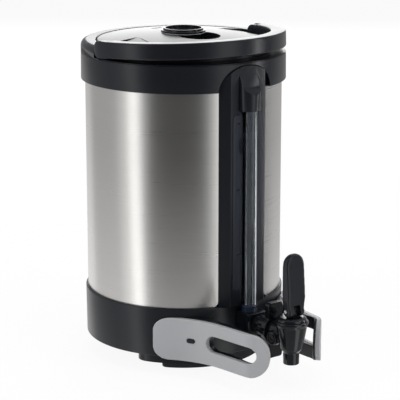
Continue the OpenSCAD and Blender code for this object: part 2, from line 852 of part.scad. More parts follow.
// The gauge block: joins the flask's outlet, the tube and the shank
module gauge_block() {
    bore_low = shank_z - 4.5;
    color(gloss)
        difference() {
            union() {
                front_plate(block_back_d, block_front_d)
                    translate([-block_w / 2, block_low_z]) square([block_w, block_top_z - block_low_z]);
            }
            for (side = [-1, 1])
                translate([side * block_w / 2, -block_front_d, 0])
                    rotate([0, 0, 45]) cube([3, 3, 2 * (block_top_z + past)], center = true);
            translate([0, -tube_d, block_top_z - 5]) cylinder(r = tube_r + 1.95, h = 5 + past);
            translate([0, -tube_d, tube_low_z]) cylinder(r = tube_r + fit, h = block_top_z);
            translate([0, -tube_d, bore_low]) cylinder(r = tube_r - tube_wall, h = block_top_z);
            front_rod(spigot_bore, 0, shank_z, block_back_d - past, block_front_d + past);
            front_rod(shank_r + fit, 0, shank_z, block_front_d - 6, block_front_d + past);
        }
}

module outlet_gasket() {
    color(rubber) translate([0, -block_back_d + washer_t, shank_z]) rotate([90, 0, 0])
        difference() {
            cylinder(r = spigot_r + 3, h = washer_t);
            translate([0, 0, -past]) cylinder(r = spigot_bore, h = washer_t + 2 * past);
        }
}

module shank_tube() {
    color(gloss)
        difference() {
            front_rod(shank_r, 0, shank_z, block_front_d - 6, shank_end_d);
            front_rod(spigot_bore, 0, shank_z, block_front_d - 7, shank_end_d + past);
        }
}

module shank_washer() {
    color(rubber)
        difference() {
            front_rod(barrel_r - 0.4, 0, shank_z, shank_end_d, shank_end_d + washer_t);
            front_rod(spigot_bore, 0, shank_z, shank_end_d - past, shank_end_d + washer_t + past);
        }
}

// The fluted hand nut with an upper and a lower wing
module shank_nut() {
    color(gloss)
        difference() {
            union() {
                front_rod(nut_r, 0, shank_z, nut_back_d, nut_front_d);
                for (turn = [0, 180])
                    translate([0, -nut_front_d + wing_t, shank_z])
                        rotate([90, turn, 0])
                            linear_extrude(height = wing_t)
                                rotate([0, 0, 90]) round_end_plate(0, wing_reach, -wing_w / 2, wing_w / 2, 1, 3.5);
            }
            for (k = [0:flute_n - 1])
                translate([0, -nut_back_d, shank_z])
                    rotate([90, 36 * k + 18, 0])
                        translate([nut_r + 2.4, 0, -past]) cylinder(r = 4.1, h = nut_len - wing_t + past);
            front_rod(shank_r + 2 * fit, 0, shank_z, nut_back_d - past, nut_front_d + past);
            front_rod(barrel_r + 2 * fit, 0, shank_z, shank_end_d, nut_front_d + past);
        }
}

// The tap: a bowl over the spout, with a barrel that the nut draws to the shank
module tap_body() {
    color(gloss)
        difference() {
            union() {
                translate([0, -tap_d, 0])
                    rotate_extrude()
                        polygon([
                            [0, spout_z], [spout_r - 0.6, spout_z], [spout_r, spout_z + 0.8],
                            [spout_r, seat_z - 4.6], [spout_r + 1.6, seat_z - 1.8], [spout_r + 4.3, seat_z + 7],
                            [spout_r + 6.3, seat_z + 16], [bowl_r - 2.2, seat_z + 24], [bowl_r - 0.5, rim_z - 1.4],
                            [bowl_r, rim_z], [bowl_r, rim_z + 1.6], [bowl_r - 1.2, bowl_top_z],
                            [0, bowl_top_z]
                        ]);
                front_rod(barrel_r, 0, shank_z, shank_end_d + washer_t, tap_d);
                cross_rod(plug_r + 0.8, -plug_d, plug_z, -barrel_r - 1, 0);
            }
            translate([0, -tap_d, spout_z - past]) cylinder(r = spout_bore, h = seat_z - spout_z - 2);
            translate([0, -tap_d, spout_z]) cylinder(r = seat_r, h = seat_z);
            translate([0, -tap_d, 0])
                rotate_extrude()
                    polygon([
                        [0, seat_z], [spout_r - 1.6, seat_z], [spout_r + 1.6, seat_z + 9],
                        [chamber_r, seat_z + 18], [chamber_r, bowl_top_z + past], [0, bowl_top_z + past]
                    ]);
            front_rod(spigot_bore, 0, shank_z, shank_end_d, tap_d);
            cross_rod(plug_r - 3 + fit, -plug_d, plug_z, -barrel_r - 1 - past, -7.5);
        }
}

// The ringed plug on the tap's left side
module tap_side_plug() {
    face_x = -barrel_r - 1;
    color(gloss) {
        cross_rod(plug_r - 3, -plug_d, plug_z, face_x, -8);
        difference() {
            cross_rod(plug_r, -plug_d, plug_z, face_x - 2.2, face_x);
            difference() {
                cross_rod(plug_r - 1.5, -plug_d, plug_z, face_x - 2.2 - past, face_x - 1.3);
                cross_rod(plug_r - 3, -plug_d, plug_z, face_x - 2.3 - past, face_x);
            }
            cross_rod(plug_r - 5, -plug_d, plug_z, face_x - 2.2 - past, face_x - 1.3);
        }
    }
}

// The bonnet closes the bowl, guides the stem and holds the spring
module tap_bonnet() {
    color(gloss)
        translate([0, -tap_d, 0])
            difference() {
                rotate_extrude()
                    polygon([
                        [0, bowl_top_z - 3], [chamber_r - fit, bowl_top_z - 3], [chamber_r - fit, bowl_top_z],
                        [bowl_r - 1.6, bowl_top_z], [bowl_r - 2.4, bowl_top_z + 2], [bowl_r - 5.2, bonnet_z],
                        [0, bonnet_z]
                    ]);
                translate([0, 0, bowl_top_z - 3 - past]) cylinder(r = stem_r + 2 * fit, h = 20);
                translate([0, 0, bowl_top_z - 3 - past]) cylinder(r = chamber_r - 2.4, h = past + 2.6);
            }
}

// The soft cup that closes on the seat
module seat_cup() {
    color([0.85, 0.85, 0.84])
        translate([0, -tap_d, 0])
            rotate_extrude()
                polygon([
                    [0, seat_z + 0.1], [seat_r + 1.4, seat_z + 0.1], [seat_r + 2.6, seat_z + 5],
                    [seat_r + 2.6, seat_z + 9], [stem_r + 2.2, seat_z + 11], [stem_r + 2.2, seat_z + 12],
                    [0, seat_z + 12]
                ]);
}

// The stem, whose flat tongue takes the lever's pin
module valve_stem() {
    tongue_y = tap_d - 4.6;
    color("silver")
        difference() {
            union() {
                translate([0, -tap_d, 0]) {
                    translate([0, 0, seat_z + 12]) cylinder(r = spring_mid_r + 2, h = 1.6);
                    translate([0, 0, seat_z + 12]) cylinder(r = stem_r, h = pin_z - seat_z - 15);
                }
                intersection() {
                    union() {
                        cross_rod(4.6, -pin_d, pin_z, -tongue_w / 2, tongue_w / 2);
                        translate([-tongue_w / 2, -pin_d - 4.6, bonnet_z + 0.4])
                            cube([tongue_w, pin_d + 4.6 - tongue_y, pin_z - bonnet_z - 0.4]);
                    }
                    translate([-tongue_w, -tap_d - 20, bonnet_z + 0.4]) cube([2 * tongue_w, 40, 30]);
                }
            }
            cross_rod(lever_pin_r + fit, -pin_d, pin_z, -tongue_w, tongue_w);
        }
}

// The return spring: a round wire wound about the stem
function spring_point(k, n) =
    let (a = 360 * spring_turns * k / n)
    [spring_mid_r * cos(a), spring_mid_r * sin(a),
     spring_low_z + spring_wire + (spring_top_z - spring_low_z - 2 * spring_wire) * k / n];

module valve_spring() {
    n = spring_turns * 14;
    sides = 6;
    rings = [for (k = [0:n]) let (p = spring_point(k, n), a = 360 * spring_turns * k / n)
        [for (j = [0:sides - 1]) let (b = 360 * j / sides)
            p + spring_wire * [cos(b) * cos(a), cos(b) * sin(a), sin(b)]]];
    points = [for (row = rings) each row];
    walls = [for (k = [0:n - 1]) for (j = [0:sides - 1])
        let (a = k * sides + j, b = k * sides + (j + 1) % sides)
        each [[a, b, b + sides], [a, b + sides, a + sides]]];
    caps = [for (j = [1:sides - 2]) each [[0, j + 1, j], [n * sides, n * sides + j, n * sides + j + 1]]];
    color("silver") translate([0, -tap_d, 0]) polyhedron(points = points, faces = concat(walls, caps));
}

// Side profile of the lever's feet as forward distance and height from the pin. The front of
// each foot is an involute, so that it lifts the stem evenly while the lever tips forward.
function foot_profile() =
    let (n = 6, low = pin_z - bonnet_z - 0.3, rate = lever_lift * 180 / (PI * lever_swing))
    concat(
        [[-5, 4], [-5, -low + 3], [-2, -low]],
        [for (k = [0:n])
            let (a = lever_swing * k / n, h = low + lever_lift * k / n)
            h * [sin(a), -cos(a)] + rate * [cos(a), sin(a)]],
        [[lever_front_d - pin_d, 4]]
    );

// Side profile of the paddle, which thins towards its top
function paddle_profile() = [
    [-lever_back_d, pin_z], [-lever_back_d, pin_z + lever_l], [-lever_front_d + 3.6, pin_z + lever_l],
    [-lever_front_d, pin_z + 0.3 * lever_l], [-lever_front_d, pin_z]
];

// The lever: a rounded paddle over a fork whose feet ride on the bonnet
module tap_lever() {
    half = lever_w / 2;
    high = pin_z + lever_l;
    foot_z = bonnet_z + 0.3;
    color(gloss)
        difference() {
            union() {
                intersection() {
                    front_plate(lever_back_d - past, lever_front_d + past) {
                        translate([-half, pin_z]) square([lever_w, lever_l - half]);
                        translate([0, high - half]) circle(r = half);
                    }
                    translate([-half, 0, 0])
                        rotate([90, 0, 90])
                            linear_extrude(height = lever_w)
                                polygon(paddle_profile());
                }
                intersection() {
                    translate([-half, -pin_d, pin_z])
                        rotate([90, 0, 90])
                            linear_extrude(height = lever_w)
                                polygon([for (p = foot_profile()) [-p[0], p[1]]]);
                    front_plate(pin_d - 12, lever_front_d + 5)
                        round_end_plate(-half, half, foot_z - 1, pin_z + 12, 4, 4);
                }
                cross_rod(6.2, -pin_d, pin_z, -half + 1.5, half - 1.5);
            }
            front_plate(pin_d - 12, lever_front_d + 5)
                translate([-fork_gap / 2, foot_z - 3]) square([fork_gap, pin_z + 6.6 - foot_z + 3]);
            cross_rod(lever_pin_r + 2 * fit, -pin_d, pin_z, -half - past, half + past);
            // Bevels along the paddle's back edges
            for (side = [-1, 1])
                translate([side * half, -lever_back_d, pin_z + 4 + lever_l])
                    rotate([0, 0, 45]) cube([2, 2, 2 * lever_l], center = true);
        }
}

module lever_pin() {
    color("silver")
        cross_rod(lever_pin_r, -pin_d, pin_z, -lever_w / 2 + 0.8, lever_w / 2 - 0.8);
}

// An arc of points, with a step of about 3 degrees
function arc_points(centre, r, from, to) =
    let (n = ceil(abs(to - from) / 3))
    [for (k = [0:n]) let (a = from + (to - from) * k / n) centre + r * [cos(a), sin(a)]];

// Plan line of a right-hand arm at a depth in from its outer face, which may differ at the tip
function arm_line(inset, tip_inset) = concat(
    arc_points([0, 0], arm_seat_r - inset, arm_rear_deg - 90, swing_deg),
    [for (p = arc_points(swing_c, swing_r + inset, swing_deg + 180, 180 - arm_turn)) p],
    arc_points(bend_c, tip_r - tip_inset, -arm_turn, -tip_deg),
    [tip_point(tip_inset)]
);

// Where the arm ends, at a depth in from its outer face
function tip_point(inset) =
    bend_c + (tip_r - inset) * [cos(tip_deg), -sin(tip_deg)] - tip_len * [sin(tip_deg), cos(tip_deg)];

function backwards(list) = [for (k = [len(list) - 1:-1:0]) list[k]];

// A layer of a right-hand guard arm between two depths in from the outer face
module arm_layer(in0, in1, tip_in1) {
    translate([0, 0, arm_low_z - past])
        linear_extrude(height = arm_h + 2 * past)
            polygon(concat(arm_line(in0, in0), backwards(arm_line(in1, tip_in1))));
}

// A shape drawn along the arm's straight direction and pushed through it
module through_arm() {
    translate([start[0], start[1], 0])
        rotate([90, 0, -90 - arm_turn])
            linear_extrude(height = 160, center = true)
                children();
}

// A shape drawn along the tip's direction, back from its end, and pushed through it
module through_tip() {
    end = tip_point(0);
    translate([end[0], end[1], 0])
        rotate([90, 0, -90 - tip_deg])
            linear_extrude(height = 3 * body_r, center = true)
                children();
}

module arm_shape(in0, in1, tip_in1, slot_grow) {
    mid_z = arm_low_z + arm_h / 2 + 0.7;
    slot_r = slot_h / 2 + slot_grow;
    difference() {
        intersection() {
            arm_layer(in0, in1, tip_in1);
            through_arm()
                round_end_plate(arm_rear_w, 2 * body_r, arm_low_z, arm_low_z + arm_h, 16, 1);
            through_tip()
                round_end_plate(-3 * body_r, 0, arm_low_z, arm_low_z + arm_h, 1, tip_round);
        }
        through_arm()
            translate([slot_rear_w + slot_h / 2, mid_z])
                stadium(slot_tip_w - slot_rear_w - slot_h, slot_r);
        ring(skirt_r + 0.2, 1, arm_low_z - 2 * past, arm_low_z + arm_h + 2 * past);
    }
}

// Place of the small oval plug on the swing of the right-hand cover
module emblem_place() {
    p = swing_c + swing_r * [cos(emblem_deg), sin(emblem_deg)];
    translate([p[0], p[1], arm_low_z + arm_h / 2])
        rotate([90, 0, emblem_deg - 90])
            translate([-2.6, 0, 0])
                children();
}

module guard_frame() {
    color(plastic)
        difference() {
            arm_shape(cover_t + fit, cover_t + frame_t, cover_t + frame_tip_t, frame_slot);
            guard_screw_place_right() cylinder(r = 2 + fit, h = 20, center = true);
        }
}

module guard_cover() {
    color(grey)
        difference() {
            arm_shape(0, cover_t, cover_t, 0);
            emblem_place() translate([0, 0, -2.5]) linear_extrude(height = 6) stadium(5.2, 2.5 + fit);
        }
}

module guard_plug() {
    color(plastic) emblem_place() translate([0, 0, -2.3]) linear_extrude(height = 2.6) stadium(5.2, 2.5);
}

guard_screw_deg = 32.5;
guard_screw_z = [z_skirt + 12, z_skirt + 32];

// Axes of the two screws that hold the right-hand arm from inside the skirt
module guard_screw_place_right() {
    for (z = guard_screw_z)
        rotate([0, 0, guard_screw_deg])
            translate([0, -skirt_r, z])
                rotate([90, 0, 0])
                    children();
}

module guard_screw_places() {
    guard_screw_place_right() children();
    mirror([1, 0, 0]) guard_screw_place_right() children();
}

module guard_screws() {
    color("silver")
        guard_screw_places() {
            translate([0, 0, -wall - 0.4]) cylinder(r = 2, h = wall + 3.6);
            translate([0, 0, -wall - 2.6]) cylinder(r = 4, h = 2.3);
        }
}

module left_guard_frame() { mirror([1, 0, 0]) guard_frame(); }

module left_guard_cover() { mirror([1, 0, 0]) guard_cover(); }

module left_guard_plug() { mirror([1, 0, 0]) guard_plug(); }

module right_guard_frame() { guard_frame(); }

module right_guard_cover() { guard_cover(); }

module right_guard_plug() { guard_plug(); }

front_foot();
rear_foot();
base_sill();
base_screws();
base_skirt();
flask_cushion();
steel_shell();
insulation_jacket();
flask_outer();
flask_liner();
flask_base();
outlet_spigot();
flask_gasket();
collar();
top_ring();
ring_screws();
handle_pins();
carry_handle();
lid_cover();
lid_liner();
lid_gasket();
fill_insert();
insert_seal();
float_ball();
gauge_housing();
gauge_panel();
gauge_disc();
gauge_tube();
tube_grommet_low();
tube_grommet_top();
gauge_block();
outlet_gasket();
shank_tube();
shank_washer();
shank_nut();
tap_body();
tap_side_plug();
tap_bonnet();
seat_cup();
valve_stem();
valve_spring();
tap_lever();
lever_pin();
left_guard_frame();
left_guard_cover();
left_guard_plug();
right_guard_frame();
right_guard_cover();
right_guard_plug();
guard_screws();
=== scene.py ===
# %% [markdown]
# # A thermal coffee server
#
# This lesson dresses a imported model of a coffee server: a steel body with a sight gauge, a tap between
# two guard arms, and a lid inside a bail handle. The construction comes in as a fixed frame of named
# nodes in metres, with the body's axis on Z, the tap towards -Y and the feet on Z = 0. Each cell adds
# one finish or one piece. The first cell loads the frame.

# %% Load the frame
import json
import math

import bpy
from mathutils import Matrix, Quaternion, Vector


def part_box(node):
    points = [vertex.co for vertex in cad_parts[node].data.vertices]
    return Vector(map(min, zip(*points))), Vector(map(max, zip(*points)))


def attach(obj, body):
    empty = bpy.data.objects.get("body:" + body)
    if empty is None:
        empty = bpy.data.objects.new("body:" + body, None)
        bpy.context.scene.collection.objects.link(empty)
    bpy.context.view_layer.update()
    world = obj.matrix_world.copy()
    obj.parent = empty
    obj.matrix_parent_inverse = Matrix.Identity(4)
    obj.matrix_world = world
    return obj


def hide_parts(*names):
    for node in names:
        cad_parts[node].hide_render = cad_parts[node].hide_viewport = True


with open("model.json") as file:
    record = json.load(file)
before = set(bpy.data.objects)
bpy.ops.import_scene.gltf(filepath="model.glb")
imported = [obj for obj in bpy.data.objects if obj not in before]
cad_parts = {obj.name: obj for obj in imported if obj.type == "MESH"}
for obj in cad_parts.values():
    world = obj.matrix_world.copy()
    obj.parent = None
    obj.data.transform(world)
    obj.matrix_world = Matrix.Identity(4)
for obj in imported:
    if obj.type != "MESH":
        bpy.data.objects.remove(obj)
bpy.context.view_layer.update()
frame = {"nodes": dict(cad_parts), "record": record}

MM = 0.001
nodes = frame["nodes"]

# %% [markdown]
# ## Camera
#
# The photograph was taken from in front and to the left, a little above the lid. The ellipses of the
# lid and the foot give the lens: a long one, from about two metres. The camera's turn is written as a
# heading on the floor plan and a tilt down. All lamps are later placed from the same heading, so that
# the highlights fall where the photograph has them.

# %% Camera
camera_heading = math.radians(53.0)
camera_swing = math.radians(-0.55)
camera_tilt = math.radians(13.92)
camera_place = Vector((-1.1946, -1.5853, 0.668))

camera_data = bpy.data.cameras.new("camera")
camera_data.sensor_width = 36.0
camera_data.lens = 156.5
camera = bpy.data.objects.new("camera", camera_data)
camera.location = camera_place
camera.rotation_euler = (math.pi / 2 - camera_tilt, 0.0, camera_heading + camera_swing - math.pi / 2)
bpy.context.scene.collection.objects.link(camera)
bpy.context.scene.camera = camera
print("camera stands", round(camera_place.length, 3), "m from the origin")

# %% [markdown]
# ## Floor, backdrop and light
#
# The object stands on white. A white floor would need more light than the object can take, so the
# floor mixes its own soft shading with a plain white that the camera and glass see, and the world does
# the same. The camera looks down, so upright steel mirrors what lies low around it. The floor is
# therefore hidden from gloss, lamps give the soft light, and cards give the reflections, most of them
# reaching below the floor. A dark card on the camera's side makes the steel's dark band. A narrow
# bright card and a dimmer one stand left of it, a bright one and a dark one right of it. A very narrow
# card makes the tube's glint, dim ones fill the sides, and two stand behind.

# %% Floor and world
def place_around(turn, distance, height):
    """A place around the body, turned in degrees to the camera's right from the way to the camera."""
    angle = camera_heading + math.pi + math.radians(turn)
    return Vector((distance * math.cos(angle), distance * math.sin(angle), height))


def math_node(tree, operation, first, second):
    """One Math node, each of whose inputs is a number or another node's output."""
    node = tree.nodes.new("ShaderNodeMath")
    node.operation = operation
    for socket, value in zip(node.inputs, (first, second)):
        if isinstance(value, float):
            socket.default_value = value
        else:
            tree.links.new(value, socket)
    return node.outputs[0]


def white_share(tree, seen, mirrored):
    """How much plain white a ray gets: one share for the camera and glass, another for gloss."""
    path = tree.nodes.new("ShaderNodeLightPath").outputs
    direct = math_node(tree, "MAXIMUM", path["Is Camera Ray"], path["Is Transmission Ray"])
    direct = math_node(tree, "MULTIPLY", direct, seen)
    gloss = math_node(tree, "MULTIPLY", path["Is Glossy Ray"], mirrored)
    return math_node(tree, "MAXIMUM", direct, gloss)


def whitened(tree, shaded, white_kind, seen, output):
    """Mixes plain white with a tree's own shading and links the mix to its output."""
    white = tree.nodes.new(white_kind)
    white.inputs["Strength"].default_value = 1.0
    mix = tree.nodes.new("ShaderNodeMixShader")
    tree.links.new(white_share(tree, seen, white_in_gloss), mix.inputs[0])
    tree.links.new(shaded.outputs[0], mix.inputs[1])
    tree.links.new(white.outputs[0], mix.inputs[2])
    tree.links.new(mix.outputs[0], tree.nodes[output].inputs["Surface"])


white_in_gloss = 0.1
bpy.ops.mesh.primitive_circle_add(vertices=96, radius=9.0, fill_type="NGON", location=(0.0, 0.0, 0.0))
floor = bpy.context.object
floor.name = "floor"
floor_paint = bpy.data.materials.new("floor_paint")
floor_paint.use_nodes = True
tree = floor_paint.node_tree
floor_shader = tree.nodes["Principled BSDF"]
floor_shader.inputs["Base Color"].default_value = (0.92, 0.92, 0.92, 1.0)
floor_shader.inputs["Roughness"].default_value = 0.9
floor_shader.inputs["Specular IOR Level"].default_value = 0.1
whitened(tree, floor_shader, "ShaderNodeEmission", 0.92, "Material Output")
floor.visible_glossy = False
floor.data.materials.append(floor_paint)

world = bpy.data.worlds.new("studio")
bpy.context.scene.world = world
world.use_nodes = True
tree = world.node_tree
room_light = tree.nodes["Background"]
room_light.inputs["Color"].default_value = (0.93, 0.96, 1.0, 1.0)
room_light.inputs["Strength"].default_value = 0.4
whitened(tree, room_light, "ShaderNodeBackground", 1.0, "World Output")
bpy.context.scene.view_settings.view_transform = "Standard"
print("floor and world are white to the camera")


# %% Lamps and cards
def soft_box(name, turn, distance, height, size, power, aim_height=0.2):
    """An area lamp that faces the body. It lights, and the cards are what gloss sees."""
    lamp_data = bpy.data.lights.new(name, "AREA")
    lamp_data.shape = "RECTANGLE"
    lamp_data.size, lamp_data.size_y = size
    lamp_data.energy = power
    lamp = bpy.data.objects.new(name, lamp_data)
    lamp.location = place_around(turn, distance, height)
    aim = Vector((0.0, 0.0, aim_height)) - lamp.location
    lamp.rotation_euler = aim.to_track_quat("-Z", "Y").to_euler()
    lamp.visible_camera = False
    lamp.visible_glossy = False
    bpy.context.scene.collection.objects.link(lamp)


soft_box("left_box", -60.0, 1.6, 0.75, (0.45, 1.5), 10.0)
soft_box("right_box", 62.0, 1.9, 0.8, (0.8, 1.5), 10.0)
soft_box("back_box", 176.0, 2.4, 1.1, (2.6, 1.5), 40.0)
soft_box("top_box", 20.0, 0.5, 2.2, (1.4, 1.4), 16.0)

card_top, card_foot = 0.9, -0.7
# Below this height a card grows brighter at this rate, as a pale floor would.
haze_top, haze_rise = 0.2, 0.8


def card(name, turn, spread, distance, tone, lean=0.0, foot=card_foot, top=card_top):
    """A card that only gloss sees, hung around a part of the body. Turn, spread and lean are degrees."""
    bpy.ops.object.select_all(action="DESELECT")
    bpy.ops.mesh.primitive_plane_add(size=1.0, location=(0.0, 0.0, 0.0))
    new = bpy.context.object
    new.name = name
    new.scale = (2.0 * distance * math.tan(math.radians(spread / 2.0)), top - foot, 1.0)
    place = place_around(turn, distance, (top + foot) / 2.0)
    new.location = place
    facing = Vector((-place.x, -place.y, 0.0))
    turned = facing.to_track_quat("Z", "Y") @ Quaternion((0.0, 0.0, 1.0), math.radians(lean))
    new.rotation_euler = turned.to_euler()
    paint = bpy.data.materials.new(name + "_paint")
    paint.use_nodes = True
    tree = paint.node_tree
    glow = tree.nodes.new("ShaderNodeEmission")
    glow.inputs["Color"].default_value = (1.0, 1.0, 1.0, 1.0)
    split = tree.nodes.new("ShaderNodeSeparateXYZ")
    tree.links.new(tree.nodes.new("ShaderNodeTexCoord").outputs["Object"], split.inputs[0])
    height = math_node(tree, "MULTIPLY", split.outputs["Y"], top - foot)
    height = math_node(tree, "ADD", height, (top + foot) / 2.0)
    below = math_node(tree, "MAXIMUM", math_node(tree, "SUBTRACT", haze_top, height), 0.0)
    strength = math_node(tree, "ADD", math_node(tree, "MULTIPLY", below, haze_rise), tone)
    tree.links.new(strength, glow.inputs["Strength"])
    tree.links.new(glow.outputs[0], tree.nodes["Material Output"].inputs["Surface"])
    new.data.materials.append(paint)
    new.visible_camera = False
    new.visible_diffuse = False
    new.visible_shadow = False
    new.visible_transmission = False


card("dark_card", -7.0, 62.0, 0.55, 0.08)
card("stripe_card", -50.5, 13.0, 0.42, 1.9, lean=-2.0)
card("soft_card", -65.0, 14.0, 0.44, 0.72)
card("left_card", -100.0, 46.0, 0.5, 0.48)
card("right_card", 44.0, 21.0, 0.5, 1.4)
card("far_dark_card", 84.0, 42.0, 0.6, 0.12)
card("glint_card", 80.0, 5.0, 0.45, 8.0, foot=0.0, top=0.6)
card("side_card", 134.0, 40.0, 0.5, 0.5)
card("back_card", 172.0, 40.0, 1.0, 3.0, foot=0.3, top=1.1)
card("low_back_card", 180.0, 100.0, 0.8, 0.7, top=0.28)

# %% [markdown]
# ## Shader arithmetic
#
# Materials below are written as expressions. This small class wraps one output socket, and each
# operator adds the Math node that does the work. `Paint` holds a material's tree, adds any other node
# with `node`, and ends with the Principled shader.

# %% Shader arithmetic
class Value:
    """A number that a material works out at each point."""

    def __init__(self, paint, socket):
        self.paint = paint
        self.socket = socket

    def math(self, operation, *others):
        return self.paint.node("ShaderNodeMath", {"operation": operation}, self, *others)

    def __add__(self, other):
        return self.math("ADD", other)

    __radd__ = __add__

    def __mul__(self, other):
        return self.math("MULTIPLY", other)

    __rmul__ = __mul__

    def clamped(self):
        return self.paint.node("ShaderNodeClamp", {}, self, 0.0, 1.0)


class Paint:
    """One material, built from expressions."""

    def __init__(self, name):
        self.material = bpy.data.materials.new(name)
        self.material.use_nodes = True
        self.tree = self.material.node_tree
        self.shader = self.tree.nodes["Principled BSDF"]

    def feed(self, socket, value):
        """Gives a socket a number, a colour or another node's output."""
        if isinstance(value, Value):
            self.tree.links.new(value.socket, socket)
        else:
            socket.default_value = value

    def node(self, kind, settings, *values, output=0, **named):
        """Adds a node: its settings first, then the values or links of its sockets."""
        new = self.tree.nodes.new(kind)
        for key, setting in settings.items():
            setattr(new, key, setting)
        for place, value in list(enumerate(values)) + list(named.items()):
            self.feed(new.inputs[place.replace("_", " ") if isinstance(place, str) else place], value)
        return Value(self, new.outputs[output])

    def place(self):
        """Object coordinates."""
        return self.node("ShaderNodeTexCoord", {}, output="Object")

    def stretched(self, x, y, z):
        """Object coordinates, drawn out by a scale along each axis."""
        return self.node("ShaderNodeMapping", {}, Vector=self.place(), Scale=(x, y, z))

    def noise(self, vector, scale, detail=3.0, roughness=0.5):
        return self.node(
            "ShaderNodeTexNoise", {}, Vector=vector, Scale=scale, Detail=detail, Roughness=roughness
        )

    def blend(self, factor, first, second):
        """A mix of two colours."""
        new = self.tree.nodes.new("ShaderNodeMix")
        new.data_type = "RGBA"
        for place, value in ((0, factor), (6, first), (7, second)):
            self.feed(new.inputs[place], value)
        return Value(self, new.outputs[2])

    def bump(self, height, strength, distance):
        return self.node("ShaderNodeBump", {}, Strength=strength, Distance=distance, Height=height)

    def finish(self, **sockets):
        """Sets the Principled shader's sockets and returns the material."""
        for key, value in sockets.items():
            self.feed(self.shader.inputs[key.replace("_", " ")], value)
        return self.material

# %% [markdown]
# ## Finishes
#
# The photograph shows brushed steel with fine level streaks, satin moulded plastic with a cool tint,
# glossier plastic on the tap and the filling ring, and satin grey covers on the guard arms. Each finish
# gets its grain, its faint unevenness and its bump from noise in object coordinates. The parts that
# only show when the server is opened get the same care.

# %% Finishes
def brushed_steel():
    paint = Paint("brushed_steel")
    streaks = paint.noise(paint.stretched(5.0, 5.0, 1500.0), 1.0, detail=3.0, roughness=0.6)
    bands = paint.noise(paint.stretched(7.0, 7.0, 60.0), 1.0)
    tone = paint.blend(streaks, (0.60, 0.588, 0.57, 1.0), (0.66, 0.648, 0.63, 1.0))
    return paint.finish(
        Base_Color=tone,
        Metallic=1.0,
        Roughness=0.24 + streaks * 0.05 + bands * 0.04,
        Normal=paint.bump(streaks, 0.07, 0.0004),
    )


def flask_steel():
    paint = Paint("flask_steel")
    drawn = paint.noise(paint.stretched(60.0, 60.0, 3.0), 6.0)
    tone = paint.blend(drawn, (0.58, 0.58, 0.6, 1.0), (0.72, 0.72, 0.73, 1.0))
    return paint.finish(
        Base_Color=tone, Metallic=1.0, Roughness=0.24 + drawn * 0.12, Normal=paint.bump(drawn, 0.1, 0.0003)
    )


def fastener():
    paint = Paint("fastener")
    grain = paint.noise(paint.place(), 900.0)
    tone = paint.blend(grain, (0.62, 0.62, 0.64, 1.0), (0.74, 0.74, 0.75, 1.0))
    return paint.finish(
        Base_Color=tone, Metallic=1.0, Roughness=0.14 + grain * 0.14, Normal=paint.bump(grain, 0.1, 0.0002)
    )


def moulded(name, dark, light, roughness, grain_scale, grain_strength, shine=0.5):
    """Moulded plastic: a fine even grain, and a faint cloud in its tone and its gloss."""
    paint = Paint(name)
    grain = paint.noise(paint.place(), grain_scale, detail=2.0)
    cloud = paint.noise(paint.place(), 14.0)
    tone = paint.blend((cloud * 0.7 + grain * 0.3).clamped(), dark, light)
    paint.shader.inputs["Specular IOR Level"].default_value = shine
    return paint.finish(
        Base_Color=tone,
        Roughness=roughness - 0.03 + cloud * 0.06 + grain * 0.05,
        Normal=paint.bump(grain, grain_strength, 0.0002),
    )


def clear_tube():
    paint = Paint("clear_tube")
    ripple = paint.noise(paint.stretched(60.0, 60.0, 18.0), 1.0)
    tone = paint.blend(ripple, (0.58, 0.62, 0.66, 1.0), (0.62, 0.66, 0.7, 1.0))
    paint.shader.inputs["Transmission Weight"].default_value = 1.0
    paint.shader.inputs["IOR"].default_value = 1.47
    return paint.finish(
        Base_Color=tone, Roughness=0.01 + ripple * 0.02, Normal=paint.bump(ripple, 0.01, 0.0004)
    )


def foam():
    paint = Paint("foam")
    cells = paint.noise(paint.place(), 420.0, detail=4.0, roughness=0.7)
    tone = paint.blend(cells, (0.62, 0.56, 0.4, 1.0), (0.86, 0.8, 0.64, 1.0))
    return paint.finish(Base_Color=tone, Roughness=0.9, Normal=paint.bump(cells, 0.6, 0.001))


def greyed(dark, light):
    """Two colours near to black, given a cool tint."""
    return [(0.84 * tone, 0.96 * tone, 1.3 * tone, 1.0) for tone in (dark, light)]


finishes = {
    "brushed_steel": brushed_steel(),
    "flask_steel": flask_steel(),
    "fastener": fastener(),
    "clear_tube": clear_tube(),
    "foam": foam(),
}
for name, *look in (
    ("black_plastic", *greyed(0.008, 0.011), 0.27, 1500.0, 0.05, 0.34),
    ("gloss_black", *greyed(0.005, 0.007), 0.14, 700.0, 0.02, 0.42),
    ("panel_grey", *greyed(0.022, 0.027), 0.42, 1600.0, 0.06, 0.25),
    ("grey_satin", (0.37, 0.373, 0.382, 1.0), (0.41, 0.413, 0.422, 1.0), 0.38, 900.0, 0.06),
    ("rubber", *greyed(0.014, 0.019), 0.75, 1100.0, 0.25),
    ("silicone", (0.52, 0.52, 0.5, 1.0), (0.62, 0.62, 0.6, 1.0), 0.5, 600.0, 0.1),
    ("grommet_blue", (0.012, 0.02, 0.036, 1.0), (0.02, 0.03, 0.055, 1.0), 0.2, 500.0, 0.08),
    ("white_plastic", (0.74, 0.74, 0.72, 1.0), (0.82, 0.82, 0.8, 1.0), 0.3, 500.0, 0.05),
):
    finishes[name] = moulded(name, *look)
slot_of = {part["node"]: part["material_slot"] for part in frame["record"]["subparts"]}
for name, slot in slot_of.items():
    nodes[name].data.materials.clear()
    nodes[name].data.materials.append(finishes[slot])
print(len(finishes), "finishes on", len(slot_of), "nodes")

